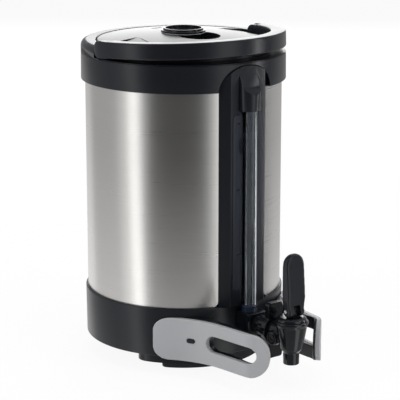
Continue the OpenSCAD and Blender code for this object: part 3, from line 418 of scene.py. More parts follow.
# %% [markdown]
# ## Modelling helpers
#
# The frame's nodes have the right shapes and sizes but sharp edges, and edges are where moulded plastic
# catches light. Most pieces below are drawn anew from a profile or an outline and take the node's place.
# `oblong` gives a rectangle's corners, and `rounded` turns corners with radii into a line of points.
# `draw` lays such a line as edges. `lathe` turns it about an axis, `slab` fills it and pushes it to a
# thickness, and `cut` and `joined` combine solids. `round_edges` and `melted` soften what is still
# sharp. `finish` smooths the shading and hands the piece to its body.

# %% Modelling helpers
def deselect():
    bpy.ops.object.select_all(action="DESELECT")


def pick(piece):
    """Makes one object the active and the only selected one."""
    deselect()
    piece.select_set(True)
    bpy.context.view_layer.objects.active = piece


def rounded(corners, closed=True, step=10.0):
    """A line through corners (x, y, radius) in millimetres, each corner turned as an arc."""
    line = []
    for place, (x, y, radius) in enumerate(corners):
        here = Vector((x, y))
        if radius == 0 or (not closed and place in (0, len(corners) - 1)):
            line.append(here)
            continue
        back = Vector(corners[place - 1][:2]) - here
        ahead = Vector(corners[(place + 1) % len(corners)][:2]) - here
        half = back.angle(ahead) / 2
        reach = min(radius / math.tan(half), 0.49 * back.length, 0.49 * ahead.length)
        inner = reach * math.tan(half)
        centre = here + (back.normalized() + ahead.normalized()).normalized() * (inner / math.sin(half))
        offset = here + back.normalized() * reach - centre
        turn = math.copysign(math.pi - 2 * half, ahead.x * back.y - ahead.y * back.x)
        steps = max(2, round(math.degrees(abs(turn)) / step))
        for k in range(steps + 1):
            line.append(centre + Matrix.Rotation(turn * k / steps, 2) @ offset)
    return line


def oblong(left, low, right, high, *radii):
    """A rectangle's corners: bare, or with one radius for all, or with one radius for each."""
    places = [(left, low), (right, low), (right, high), (left, high)]
    return [place + (radius,) for place, radius in zip(places, radii * 4)] if radii else places


def draw(name, points):
    """A new object in edit mode, with one edge from each point to the next, in metres."""
    if bpy.context.object and bpy.context.object.mode == "EDIT":
        bpy.ops.object.mode_set(mode="OBJECT")
    deselect()
    bpy.ops.mesh.primitive_plane_add(size=0.001, location=(0.0, 0.0, 0.0))
    piece = bpy.context.object
    piece.name = name
    bpy.ops.object.mode_set(mode="EDIT")
    bpy.ops.mesh.select_all(action="SELECT")
    bpy.ops.mesh.merge(type="CENTER")
    bpy.ops.transform.translate(value=points[0])
    for here, there in zip(points, points[1:]):
        bpy.ops.mesh.extrude_vertices_move(TRANSFORM_OT_translate={"value": there - here})
    bpy.ops.mesh.select_all(action="SELECT")
    return piece


def tidy():
    """Merges and turns outward what is selected, and leaves edit mode."""
    bpy.ops.mesh.select_all(action="SELECT")
    bpy.ops.mesh.remove_doubles(threshold=0.01 * MM)
    bpy.ops.mesh.normals_make_consistent(inside=False)
    bpy.ops.object.mode_set(mode="OBJECT")


def lathe(name, profile, centre=(0.0, 0.0), start=0.0, turn=360.0, steps=144):
    """A closed profile of (radius, height) points turned about an upright axis, from start degrees."""
    way = Vector((math.cos(math.radians(start)), math.sin(math.radians(start)), 0.0))
    middle = Vector((centre[0], centre[1], 0.0)) * MM
    points = [middle + (way * p[0] + Vector((0.0, 0.0, p[1]))) * MM for p in profile]
    piece = draw(name, points + points[:1])
    bpy.ops.mesh.remove_doubles(threshold=0.001 * MM)
    bpy.ops.mesh.spin(steps=steps, angle=-math.radians(turn), center=middle, axis=(0.0, 0.0, 1.0))
    bpy.ops.mesh.select_all(action="SELECT")
    if turn < 360.0:
        bpy.ops.mesh.fill_holes(sides=0)
    tidy()
    return piece


def slab(name, outline, depth):
    """A closed outline of points in metres, filled and pushed along depth."""
    piece = draw(name, outline + outline[:1])
    bpy.ops.mesh.remove_doubles(threshold=0.001 * MM)
    bpy.ops.mesh.edge_face_add()
    bpy.ops.mesh.extrude_region_move(TRANSFORM_OT_translate={"value": depth})
    tidy()
    return piece


def front_slab(name, line, back, front):
    """A slab drawn as (x, z) seen from the front, between two distances in front of the axis."""
    outline = [Vector((x, -back, z)) * MM for x, z in line]
    return slab(name, outline, Vector((0.0, (back - front) * MM, 0.0)))


def flat_slab(name, line, low, high):
    """A slab drawn as (x, y) seen from above, between two heights."""
    outline = [Vector((x, y, low)) * MM for x, y in line]
    return slab(name, outline, Vector((0.0, 0.0, (high - low) * MM)))


def side_slab(name, line, left, right):
    """A slab drawn as (forward distance, height) seen from the side, between two places on X."""
    outline = [Vector((left, -forward, z)) * MM for forward, z in line]
    return slab(name, outline, Vector(((right - left) * MM, 0.0, 0.0)))


def placed(piece, axis, degrees, move=(0.0, 0.0, 0.0), about=(0.0, 0.0, 0.0)):
    """Turns a piece about an axis through a point, moves it, and keeps both in its mesh."""
    pick(piece)
    centre = Matrix.Translation(Vector(about) * MM)
    turn = Matrix.Rotation(math.radians(degrees), 4, axis)
    piece.matrix_world = Matrix.Translation(Vector(move) * MM) @ centre @ turn @ centre.inverted()
    bpy.ops.object.transform_apply(location=True, rotation=True, scale=True)
    return piece


def front_lathe(name, profile, x, z, steps=96):
    """A profile of (radius, distance in front of the axis) turned about a level line to the front."""
    return placed(lathe(name, profile, steps=steps), "X", 90.0, move=(x, 0.0, z))


def side_lathe(name, profile, y, z, steps=64):
    """A profile of (radius, distance to the left) turned about a level line across."""
    return placed(lathe(name, profile, steps=steps), "Y", -90.0, move=(0.0, y, z))


def mirrored(name, piece):
    """A copy of a piece on the other side, with its own mesh."""
    other = bpy.data.objects.new(name, piece.data.copy())
    bpy.context.scene.collection.objects.link(other)
    pick(other)
    other.scale = (-1.0, 1.0, 1.0)
    bpy.ops.object.transform_apply(location=True, rotation=True, scale=True)
    bpy.ops.object.mode_set(mode="EDIT")
    tidy()
    return other


def melted(piece, voxel, rounds):
    """Softens all edges as a mould does: the piece is remeshed into small faces and smoothed."""
    pick(piece)
    work = piece.modifiers.new("grid", "REMESH")
    work.mode = "VOXEL"
    work.voxel_size = voxel * MM
    bpy.ops.object.modifier_apply(modifier=work.name)
    work = piece.modifiers.new("soften", "SMOOTH")
    work.factor = 0.5
    work.iterations = rounds
    bpy.ops.object.modifier_apply(modifier=work.name)
    return piece


def round_line(x, y, radius, count=48):
    """A circle as a line of points."""
    turns = [math.tau * k / count for k in range(count)]
    return [Vector((x + radius * math.cos(a), y + radius * math.sin(a))) for a in turns]


def combined(piece, other, operation):
    """Applies a boolean with another object, which is used up."""
    pick(piece)
    work = piece.modifiers.new("work", "BOOLEAN")
    work.operation = operation
    work.solver = "EXACT"
    work.object = other
    bpy.ops.object.modifier_apply(modifier=work.name)
    bpy.data.objects.remove(other)
    return piece


def cut(piece, other):
    return combined(piece, other, "DIFFERENCE")


def joined(piece, other):
    return combined(piece, other, "UNION")


def kept_inside(piece, other):
    return combined(piece, other, "INTERSECT")


def round_edges(piece, width, angle=35.0, segments=2):
    """Rounds every edge sharper than an angle by a width in millimetres."""
    pick(piece)
    work = piece.modifiers.new("edges", "BEVEL")
    work.width = width * MM
    work.segments = segments
    work.limit_method = "ANGLE"
    work.angle_limit = math.radians(angle)
    bpy.ops.object.modifier_apply(modifier=work.name)
    return piece


def from_node(name, node):
    """A new object with the clean shape of a CAD node, to round or cut."""
    piece = bpy.data.objects.new(name, nodes[node].data.copy())
    bpy.context.scene.collection.objects.link(piece)
    pick(piece)
    bpy.ops.object.mode_set(mode="EDIT")
    bpy.ops.mesh.select_all(action="SELECT")
    bpy.ops.mesh.remove_doubles(threshold=0.02 * MM)
    bpy.ops.mesh.dissolve_limited(angle_limit=math.radians(0.8))
    tidy()
    return piece


def finish(piece, body, node, smooth=32.0, paint=None):
    """Gives a piece its finish, its smooth shading and its body, in place of a CAD node."""
    pick(piece)
    bpy.ops.object.transform_apply(location=True, rotation=True, scale=True)
    bpy.ops.object.shade_smooth_by_angle(angle=math.radians(smooth))
    piece.data.materials.clear()
    piece.data.materials.append(finishes[paint or slot_of[node]])
    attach(piece, body)
    if node:
        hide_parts(node)
    print(piece.name, "on", body, "-", len(piece.data.polygons), "faces")
    return piece

# %% [markdown]
# ## Measures
#
# The frame gives each node's box, so the sizes that the drawn pieces need are read from it and kept
# in millimetres: radii about the body's axis, heights above the floor, and distances in front of the
# axis. What the boxes don't tell, such as a fillet, is named where it is used.

# %% Measures
def span(node):
    """A node's lowest and highest corners, in millimetres."""
    low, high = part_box(node)
    return Vector(low) / MM, Vector(high) / MM


steel_low, steel_high = span("steel_shell")
skirt_low, skirt_high = span("base_skirt")
deck_z = span("top_ring")[0].z
lid_low, lid_high = span("lid_cover")
tube_low, tube_high = span("gauge_tube")
bonnet_low, bonnet_high = span("tap_bonnet")
pin_low, pin_high = span("lever_pin")
nut_low, nut_high = span("shank_nut")
house_high = span("gauge_housing")[1]
insert_low, insert_high = span("fill_insert")

body_r = steel_high.x
skirt_r = skirt_high.x
collar_r = span("carry_handle")[1].x
lid_r = lid_high.x
lid_gap = 0.8
bore_r = lid_r + lid_gap
tube_r = (tube_high.x - tube_low.x) / 2
tube_d = -(tube_low.y + tube_high.y) / 2
tap_d = -(bonnet_low.y + bonnet_high.y) / 2
pin_d = -(pin_low.y + pin_high.y) / 2
pin_z = (pin_low.z + pin_high.z) / 2
shank_z = (nut_low.z + nut_high.z) / 2
fill_r = insert_high.x
shelf = 10.0
arch_r = house_high.x - shelf
house_gap = 1.0
groove_r = tube_r + 1.25
flow_r = 6.4
barrel_r = 13.0
seam = 0.3
# A shape that cuts, or that is trimmed, reaches this far beyond the face.
past = 5.0
print("body", round(body_r, 2), "collar", round(collar_r, 2), "deck", round(deck_z, 2))
print("tube", round(tube_d, 2), "tap", round(tap_d, 2), "shank", round(shank_z, 2))

# %% [markdown]
# ## The body
#
# The body is a rolled steel sheet with a window at the front, over a moulded skirt. Both are round, so
# each is a profile turned about the body's axis. The sheet stops short of a full turn to leave the
# window, and two filleted notches round its lower corners. The corners of the sheet's section are
# rounded by a small radius, which is what makes a sheet look like one.

# %% Steel body
window_half = arch_r - 0.3
sheet = 0.8
corner_r = 9.0
window_deg = math.degrees(math.asin(window_half / body_r))
steel = lathe(
    "steel_body",
    rounded(oblong(body_r - sheet, steel_low.z, body_r, steel_high.z, 0.25), step=30.0),
    start=-90.0 + window_deg,
    turn=360.0 - 2.0 * window_deg,
    steps=216,
)
notch = front_slab(
    "notch",
    rounded([
        (-window_half, steel_low.z + 20.0, 0), (-window_half, steel_low.z, corner_r),
        (-window_half - 14.0, steel_low.z, 0), (-window_half - 14.0, steel_low.z - 2.0, 0),
        (window_half + 14.0, steel_low.z - 2.0, 0), (window_half + 14.0, steel_low.z, 0),
        (window_half, steel_low.z, corner_r), (window_half, steel_low.z + 20.0, 0),
    ]),
    body_r / 2, body_r + past,
)
cut(steel, notch)
finish(steel, "server", "steel_shell")

# %% Skirt
skirt_wall = 3.2
floor_z = skirt_low.z + 6.0
ledge_r = body_r - 6.5
skirt = lathe(
    "skirt",
    rounded([
        (0.0, skirt_low.z, 0), (skirt_r - 0.6, skirt_low.z, 0.8), (skirt_r, skirt_high.z, 1.3),
        (ledge_r, skirt_high.z, 0), (ledge_r, skirt_high.z - 3.0, 0),
        (skirt_r - skirt_wall, skirt_high.z - 3.0, 0), (skirt_r - skirt_wall, floor_z, 0), (0.0, floor_z, 0),
    ], step=18.0),
    steps=216,
)
block_low, block_high = span("gauge_block")
cut(skirt, front_slab(
    "opening",
    oblong(block_low.x - seam, block_low.z - seam, block_high.x + seam, block_high.z + seam),
    skirt_r - 12.0, skirt_r + 2.0,
))
tube_way = round_line(0.0, -tube_d, groove_r)
cut(skirt, flat_slab("tube_way", tube_way, block_high.z - 1.0, skirt_high.z + 2.0))
finish(skirt, "server", "base_skirt")

# %% Sill and feet
for node, name in (("base_sill", "sill"), ("front_foot", "front_foot_pad"), ("rear_foot", "rear_foot_pad")):
    finish(round_edges(from_node(name, node), 1.2), "server", node)

# %% [markdown]
# ## Collar, top ring and handle
#
# The collar is one turned moulding whose front is solid, and gives way to the arched top of the gauge
# housing. At the back its edge sweeps up, and the top ring closes over it with a rounded shoulder. Both
# sides of that line come from one sloping wedge, so the seam between them stays even. The bail handle
# is a part turn of a rounded band with a cheek at each end, drawn level and then tilted about its pins.

# %% Collar
wall = 3.0
seat_z = deck_z - 13.0
throat_r = lid_r - 11.8
throat_low = steel_high.z + 5.7
arch_top = deck_z - 2.6
rear_z = deck_z + 7.0
sweep_y = 8.0
sweep_slope = math.tan(math.radians(12.5))


def arch(half, top, low):
    """The housing's outline from the front: straight sides and a full round top."""
    fullness = 2.0 / 2.15
    centre = steel_high.z - 3.6
    line = []
    for k in range(1, 48):
        across, up = math.cos(math.pi * k / 48), math.sin(math.pi * k / 48)
        reach = math.copysign(half * abs(across) ** fullness, across)
        line.append((reach, centre + (top - centre) * up ** fullness))
    return [(half, low), (half, centre)] + line + [(-half, centre), (-half, low)]


def above_sweep(name, drop):
    """A wedge over the sloping seam, as wide as the body."""
    far = 2.0 * collar_r
    low = deck_z - drop
    return side_slab(name, [
        (-sweep_y, low), (-sweep_y - far, low + far * sweep_slope), (-sweep_y - far, deck_z + far),
        (far, deck_z + far), (far, low),
    ], -far, far)


def back_band(name, r_in, drop):
    """The band at the back of the collar, under the sloping seam."""
    band = lathe(name, oblong(r_in, deck_z - 1.0, collar_r, rear_z - drop), steps=216)
    return cut(band, above_sweep("over", drop))


collar = lathe(
    "collar_shell",
    rounded([
        (collar_r + 0.3, steel_high.z, 0.5), (collar_r, deck_z, 0.9), (bore_r, deck_z, 0.5),
        (bore_r, seat_z, 0), (throat_r, seat_z, 0.5), (throat_r, throat_low, 0),
        (throat_r + 2.5, throat_low, 0), (throat_r + 2.5, seat_z - 2.5, 0), (bore_r + 2.5, seat_z - 2.5, 0),
        (bore_r + 2.5, deck_z - wall, 0),
        (collar_r - wall, deck_z - wall, 0), (collar_r - wall, steel_high.z + wall, 0),
        (body_r - 5.0, steel_high.z + wall, 0), (body_r - 5.0, steel_high.z, 0),
    ], step=30.0),
    steps=216,
)
joined(collar, back_band("band", collar_r - wall, 0.0))
beside_arch = 6.0 + math.degrees(math.asin((arch_r + house_gap) / collar_r))
joined(collar, lathe(
    "beside_arch", oblong(bore_r + 1.0, steel_high.z, collar_r - 1.0, deck_z - 1.0),
    start=-90.0 - beside_arch, turn=2.0 * beside_arch, steps=60,
))
arch_way = arch(arch_r + 3.2, arch_top + 1.0, steel_high.z - past)
cut(collar, front_slab("arch_way", arch_way, bore_r + 4.0, collar_r + past))
finish(collar, "server", "collar")

# %% Top ring
shoulder_z = deck_z + 14.0
ear_in, ear_out = bore_r + 0.6, bore_r + 8.0
ear_r = 9.0
cheek_in = ear_out + 0.4
cheek_r = 10.2
pivot_z = deck_z + 11.5
ring = lathe(
    "top_ring_shell",
    rounded(oblong(bore_r + 0.3, deck_z, collar_r, shoulder_z, 0, 0, 7.0, 1.2), step=7.5),
    start=0.0, turn=180.0, steps=108,
)
flange = oblong(bore_r, deck_z, collar_r - 1.0, deck_z + 1.0, 0, 0, 0.4, 0.4)
joined(ring, lathe("flange", rounded(flange, step=45.0), steps=216))
for side in (-1.0, 1.0):
    ear_line = rounded(oblong(-ear_r, deck_z, ear_r, pivot_z + ear_r, 0, 0, ear_r, ear_r))
    ear = side_slab("ear", ear_line, side * ear_in, side * ear_out)
    joined(ring, round_edges(ear, 0.8, segments=3))
    for cutter, outline in (
        ("recess", round_line(0.0, pivot_z, cheek_r + 0.6)),
        ("swing_way", oblong(0.0, deck_z + 1.0, -cheek_r, pivot_z + 20.0)),
    ):
        cut(ring, side_slab(cutter, outline, side * (cheek_in - 0.4), side * (collar_r + past)))
cut(ring, back_band("under", collar_r - wall - seam, -seam))
finish(ring, "server", "top_ring")

# %% Handle
band_low = pivot_z - 9.1
band_high = band_low + 18.6
band_in = collar_r - 17.5
band_end = ear_r + 0.8
rest_tilt = 2.7
end_deg = math.degrees(math.asin(band_end / collar_r))
handle = lathe(
    "handle",
    rounded(oblong(band_in, band_low, collar_r, band_high, 1.6, 2.2, 2.0, 1.8), step=18.0),
    start=180.0 + end_deg, turn=180.0 - 2.0 * end_deg, steps=144,
)
for side in (-1.0, 1.0):
    cheek = side_slab("cheek", rounded([
        (-cheek_r, pivot_z - cheek_r, cheek_r), (band_end + 6.0, pivot_z - cheek_r + 1.1, 0),
        (band_end + 6.0, pivot_z + cheek_r - 0.9, 0), (-cheek_r, pivot_z + cheek_r, cheek_r),
    ], step=7.5), side * cheek_in, side * (collar_r + past))
    kept_inside(cheek, lathe("drum", oblong(60.0, band_low - past, collar_r, band_high + past), steps=216))
    joined(handle, round_edges(cheek, 1.4, angle=50.0, segments=3))
placed(handle, "X", -rest_tilt, about=(0.0, 0.0, pivot_z))
finish(handle, "handle", "carry_handle")

# %% [markdown]
# ## Lid and filling ring
#
# The lid is a shallow dome with a finger pocket in front of the filling ring, a ramp at each side
# that leads a finger under the handle's ends, and a small steam slot behind. The dome is turned, and
# the hollows are cut with solids of their own shape. The filling ring is glossier and all turned: a
# flange, a second step and a stepped well.

# %% Lid
dome_rise = 8.0
cap_z = deck_z + 21.6
dome_r = (lid_r ** 2 + dome_rise ** 2) / (2.0 * dome_rise)
insert_r = fill_r - 3.3


def dome_z(r):
    """Height of the dome at a radius."""
    return cap_z - dome_r + math.sqrt(dome_r ** 2 - r ** 2)


rim_start = fill_r + 0.6
rings = 24
dome_line = [lid_r - 2.0 - (lid_r - 2.0 - rim_start) * k / rings for k in range(rings + 1)]
lid = lathe(
    "lid",
    rounded([
        (insert_r + 0.3, lid_low.z, 0), (lid_r - 0.2, lid_low.z, 0.6), (lid_r, dome_z(lid_r), 1.3),
        (lid_r - 2.0, dome_z(lid_r - 2.0), 0),
    ], closed=False, step=18.0)
    + [Vector((r, dome_z(r))) for r in dome_line[1:]]
    + [Vector((rim_start, cap_z - 0.8)), Vector((insert_r + 0.3, cap_z - 0.8))],
    steps=216,
)
pocket_r = 24.2
pocket_line = rounded(oblong(0.0, cap_z - 10.0, pocket_r, cap_z + 10.0, 0, 2.0, 0, 0), step=18.0)
cut(lid, lathe("pocket", pocket_line, centre=(0.0, -30.0), steps=96))
ramp_tip, ramp_back, ramp_deep = 0.57 * lid_r, 0.1 * lid_r, 8.0
ramp_long = lid_r - ramp_tip
ramp_drop = math.degrees(math.atan2(ramp_deep, ramp_long))
ramp = flat_slab("ramp", rounded([
    (0.0, 0.0, 0), (1.2 * ramp_long, 6.5, 0), (1.2 * ramp_long, -1.7 * ramp_long, 0),
    (0.44 * ramp_long, -1.7 * ramp_long, 0),
]), 0.0, 2.0 * dome_rise)
placed(ramp, "Y", ramp_drop, move=(ramp_tip, ramp_back, dome_z(ramp_tip)))
other_ramp = mirrored("other_ramp", ramp)
cut(lid, ramp)
cut(lid, other_ramp)
slot_half, slot_r = 4.0, 3.4
slot_y = 0.52 * lid_r
slot_end = slot_half + slot_r
slot_line = rounded(oblong(-slot_end, slot_y - slot_r, slot_end, slot_y + slot_r, slot_r))
cut(lid, flat_slab("steam_slot", slot_line, cap_z - 4.5, cap_z + past))
hollow_top = cap_z - dome_rise - ramp_deep - 2.7
cut(lid, lathe("hollow", oblong(insert_r + 3.3, lid_low.z - past, lid_r - wall, hollow_top), steps=144))
finish(lid, "lid", "lid_cover")

# %% Filling ring
ring_top = cap_z + 4.6
well_r = insert_r - 3.4
top_in = fill_r - 5.0
ball_r = 9.0
cage_r = ball_r + 0.6
ball_seat = seat_z + 10.46
fill_ring = lathe(
    "filling_ring",
    rounded([
        (cage_r, insert_low.z, 0), (ball_r + 3.0, insert_low.z, 0.8), (ball_r + 3.0, seat_z + 6.0, 0),
        (insert_r, seat_z + 6.0, 0.6), (insert_r, cap_z, 0), (fill_r, cap_z, 0.4), (fill_r, cap_z + 2.2, 0.9),
        (fill_r - 2.4, cap_z + 2.2, 0.8), (fill_r - 2.4, ring_top, 0.9), (top_in, ring_top, 0.9),
        (top_in, cap_z + 0.6, 0.5), (well_r, cap_z + 0.6, 0.6), (well_r, cap_z - 9.0, 1.2),
        (ball_r - 2.0, cap_z - 9.0, 0.5), (ball_r - 2.0, ball_seat, 0), (cage_r, ball_seat, 0),
    ], step=18.0),
    steps=144,
)
finish(fill_ring, "fill_insert_body", "fill_insert")

# %% [markdown]
# ## Sight gauge
#
# The housing is a plinth up the front of the body with a flat face and sloping flanks, and a slightly
# wider head with an arched front outline. Both are drawn from above, and their edges are rounded before
# the groove for the tube is cut. The hood is a short U-shaped prism round the tube's top whose upper
# end curves back into the face. A dark grey panel lies on the face as a strip on each side of the
# groove, plain level marks stand on it, and a round disc sits behind the tube.

# %% Housing
face_d = tube_d - 4.4
flank_d = math.sqrt(body_r ** 2 - arch_r ** 2)
house_back = -house_high.y
face_half = 24.0
hood_z = steel_high.z - 21.5
flank_slope = (face_d - flank_d) / (arch_r - face_half)


def plinth(name, half, low, high):
    """A length of the housing, whose flanks slope back from the face to a half width."""
    flank = face_d - (half - face_half) * flank_slope
    return flat_slab(name, rounded([
        (-half, -house_back, 0), (-half, -flank, 0.6), (-face_half, -face_d, 1.2),
        (face_half, -face_d, 1.2), (half, -flank, 0.6), (half, -house_back, 0),
    ], step=15.0), low, high)


head_half = arch_r + 1.8
housing = kept_inside(
    plinth("housing", head_half, steel_high.z + seam, deck_z + 5.0),
    front_slab("arch_front", arch(head_half, arch_top, steel_low.z - past), house_back - past, face_d + 30.0),
)
joined(housing, plinth("stem", arch_r - 0.7, steel_low.z, steel_high.z + 2.0))
round_edges(housing, 1.0, angle=60.0, segments=3)
hood_half, hood_nose = 12.2, tube_d + 10.2
nose_turns = [math.pi * (1.0 + k / 24.0) for k in range(25)]
hood = flat_slab("hood", [(-hood_half, -face_d + 3.0)] + [
    (hood_half * math.cos(a), -hood_nose + hood_half + hood_half * math.sin(a)) for a in nose_turns
] + [(hood_half, -face_d + 3.0)], hood_z, deck_z)
hood_side = side_slab("hood_side", rounded([
    (face_d - 5.0, hood_z, 0), (hood_nose + 2.0, hood_z, 0), (hood_nose + 2.0, hood_z + 17.0, 0),
    (hood_nose - 1.4, hood_z + 20.2, 3.0), (tube_d + 1.6, hood_z + 25.4, 14.0), (face_d, hood_z + 40.4, 0),
    (face_d - 5.0, hood_z + 44.0, 0),
], step=9.0), -40.0, 40.0)
kept_inside(hood, hood_side)
round_edges(hood, 0.9, angle=40.0, segments=3)
joined(housing, hood)
groove = round_line(0.0, -tube_d, groove_r, 64)
socket = round_line(0.0, -tube_d, tube_r + 0.8, 64)
cut(housing, flat_slab("groove", groove, steel_low.z - past, hood_z + 0.01))
cut(housing, flat_slab("socket", socket, hood_z - 1.0, tube_high.z + 3.0))
disc_low, disc_high = span("gauge_disc")
disc_z = (disc_low.z + disc_high.z) / 2
disc_r = (disc_high.x - disc_low.x) / 2
disc_d = -disc_low.y
disc_hole = oblong(0.0, disc_d - 3.6, disc_r + 0.1, face_d + 6.0)
cut(housing, front_lathe("disc_hole", disc_hole, 0.0, disc_z))
finish(housing, "server", "gauge_housing")

# %% Panel
panel_low, panel_high = span("gauge_panel")
panel_half = panel_high.x
panel_t = 0.8
panel_top = panel_high.z - 4.2
mouth = math.sqrt(groove_r ** 2 - (tube_d - face_d) ** 2)
panel_line = rounded(oblong(-panel_half, panel_low.z, panel_half, panel_top, 2.0, 2.0, 4.0, 4.0), step=15.0)
panel = front_slab("panel", panel_line, face_d, face_d + panel_t)
tube_strip = oblong(-mouth, panel_low.z - past, mouth, panel_top + past)
cut(panel, front_slab("tube_strip", tube_strip, face_d - past, face_d + past))
disc_way = oblong(0.0, disc_d - 3.0, disc_r + 0.3, face_d + 6.0)
cut(panel, front_lathe("disc_way", disc_way, 0.0, disc_z))
finish(round_edges(panel, 0.25, angle=60.0), "server", "gauge_panel")

# %% Level marks
first_level, level_step, mark_half = 60.5, 75.0, 0.6
marks = None
for level in range(3):
    height = steel_low.z + first_level + level_step * level
    for side, long in ((-1.0, 4.6), (1.0, 2.2)):
        inner = side * (groove_r + 2.0)
        bar = oblong(inner, height - mark_half, inner + side * long, height + mark_half, 0.3)
        bar_line = rounded(bar, step=45.0)
        mark = front_slab("level_marks", bar_line, face_d + panel_t - 0.2, face_d + panel_t + 0.3)
        marks = joined(marks, mark) if marks else mark
finish(marks, "server", None, paint="gloss_black")

# %% Disc
disc = front_lathe("disc", rounded([
    (0.0, disc_d - 3.4, 0), (disc_r, disc_d - 3.4, 0), (disc_r, disc_d, 0.6), (disc_r - 2.2, disc_d, 0.8),
    (disc_r - 5.0, disc_d - 1.3, 6.0), (0.0, disc_d - 1.9, 0),
], step=15.0), 0.0, disc_z)
cut(disc, flat_slab("tube_gap", groove, disc_z - 20.0, disc_z + 20.0))
finish(disc, "server", "gauge_disc")

# %% Tube and grommet
tube_line = rounded(oblong(tube_r - 1.6, tube_low.z, tube_r, tube_high.z, 0.3, 0.5, 0.5, 0.3), step=30.0)
tube = lathe("tube", tube_line, centre=(0.0, -tube_d), steps=96)
finish(tube, "server", "gauge_tube")
block_top = block_high.z
lip_low = block_top + 3.3
lip_high = lip_low + 3.3
grommet = lathe("low_grommet", rounded([
    (tube_r + 0.05, block_top - 5.0, 0), (tube_r + 1.9, block_top - 5.0, 0), (tube_r + 1.9, block_top, 0),
    (tube_r + 0.6, block_top, 0), (tube_r + 0.6, lip_low, 0), (tube_r + 1.2, lip_low, 0.5),
    (tube_r + 1.2, lip_high, 0.9), (tube_r + 0.05, lip_high, 0),
], step=18.0), centre=(0.0, -tube_d), steps=96)
finish(grommet, "server", "tube_grommet_low")

# %% Gauge block
block_front = -block_low.y
block_back = -block_high.y
block_half = block_high.x
socket_r = 9.55
block = flat_slab("gauge_foot", rounded([
    (-block_half, -block_back, 0), (-block_half, -block_front, 3.0),
    (block_half, -block_front, 3.0), (block_half, -block_back, 0),
], step=18.0), block_low.z, block_high.z)
round_edges(block, 1.0, angle=50.0, segments=3)
cut(block, flat_slab("well", round_line(0.0, -tube_d, tube_r + 1.95), block_top - 5.0, block_top + 2.0))
cut(block, flat_slab("tube_bore", round_line(0.0, -tube_d, tube_r + 0.05), tube_low.z, block_top + 2.0))
cut(block, front_lathe("flow_bore", [
    (0.0, block_back - past), (flow_r, block_back - past), (flow_r, block_front - 6.0),
    (socket_r, block_front - 6.0), (socket_r, block_front + past), (0.0, block_front + past),
], 0.0, shank_z))
finish(block, "server", "gauge_block")

# %% [markdown]
# ## Tap
#
# The tap is glossy plastic apart from its satin lever. A short shank leads to a fluted hand nut with an
# upper and a lower wing. The bowl and the spout are one turned form with a level barrel joined in, and
# the joint is softened as in a moulding, by remeshing it finely and smoothing it. The lever is drawn
# from the side and from the front, and softened the same way, because no edge of the real one is sharp.

# %% Shank and nut
shank_low, shank_high = span("shank_tube")
shank_back, shank_end = -shank_high.y, -shank_low.y
shank_r = shank_high.x
shank_line = rounded(oblong(flow_r, shank_back, shank_r, shank_end, 0, 0.4, 0.4, 0), step=30.0)
shank = front_lathe("shank", shank_line, 0.0, shank_z)
finish(shank, "server", "shank_tube")

nut_back, nut_front = -nut_high.y, -nut_low.y
nut_r = nut_high.x
wing_reach = nut_high.z - shank_z
wing_t, wing_half = 7.0, 10.0
flutes, flute_r, flute_out = 10, 4.1, nut_r + 2.4
flute_gap = math.tau / flutes
fluted = []
for k in range(240):
    a = math.tau * k / 240
    off = a - flute_gap * round(a / flute_gap)
    reach = nut_r
    edge = flute_r ** 2 - (flute_out * math.sin(off)) ** 2
    if edge > 0.0:
        reach = min(nut_r, flute_out * math.cos(off) - math.sqrt(edge))
    fluted.append((reach * math.sin(a), shank_z + reach * math.cos(a)))
nut = front_slab("nut", fluted, nut_back, nut_front - wing_t + 0.5)
wing_back = nut_front - wing_t
wing_plate = front_lathe("wings", oblong(0.0, wing_back, nut_r, nut_front), 0.0, shank_z, steps=120)
wing_pair = rounded(oblong(-wing_half, shank_z - wing_reach, wing_half, shank_z + wing_reach, 3.5))
joined(wing_plate, front_slab("wing_pair", wing_pair, wing_back, nut_front))
joined(nut, wing_plate)
cut(nut, front_lathe("nut_bore", [
    (0.0, nut_back - past), (shank_r + 0.1, nut_back - past), (shank_r + 0.1, shank_end),
    (barrel_r + 0.1, shank_end), (barrel_r + 0.1, nut_front + past), (0.0, nut_front + past),
], 0.0, shank_z, steps=72))
melted(nut, 0.45, 4)
finish(nut, "server", "shank_nut", smooth=60.0)

# %% Bowl and spout
spout_low = span("tap_body")[0]
spout_z = spout_low.z
spout_r, spout_bore = 9.0, 6.8
valve_z = spout_z + 17.7
bowl_top = bonnet_low.z + 3.0
rim_z = bowl_top - 3.2
bowl_r = -spout_low.y - tap_d
chamber_r = bowl_r - 5.5
bowl = lathe("bowl", rounded([
    (0.0, spout_z, 0), (spout_r, spout_z, 0.7), (spout_r, valve_z - 4.0, 2.0),
    (spout_r + 3.2, valve_z - 0.5, 4.0), (spout_r + 6.2, valve_z + 14.0, 12.0),
    (bowl_r - 1.6, rim_z - 3.0, 3.0), (bowl_r, rim_z, 0.6), (bowl_r, bowl_top - 1.3, 0.6),
    (bowl_r - 1.2, bowl_top, 0.3), (0.0, bowl_top, 0),
], step=12.0), centre=(0.0, -tap_d), steps=120)
barrel_line = rounded(oblong(0.0, shank_end + 2.0, barrel_r, tap_d - 4.0, 0, 0.6, 0, 0), step=30.0)
joined(bowl, front_lathe("barrel", barrel_line, 0.0, shank_z))
plug_low, plug_high = span("tap_side_plug")
plug_y = (plug_low.y + plug_high.y) / 2
plug_z = (plug_low.z + plug_high.z) / 2
plug_r = (plug_high.z - plug_low.z) / 2
plug_face = barrel_r + 1.0
joined(bowl, side_lathe("plug_seat", oblong(0.0, 0.0, plug_r + 0.8, plug_face), plug_y, plug_z))
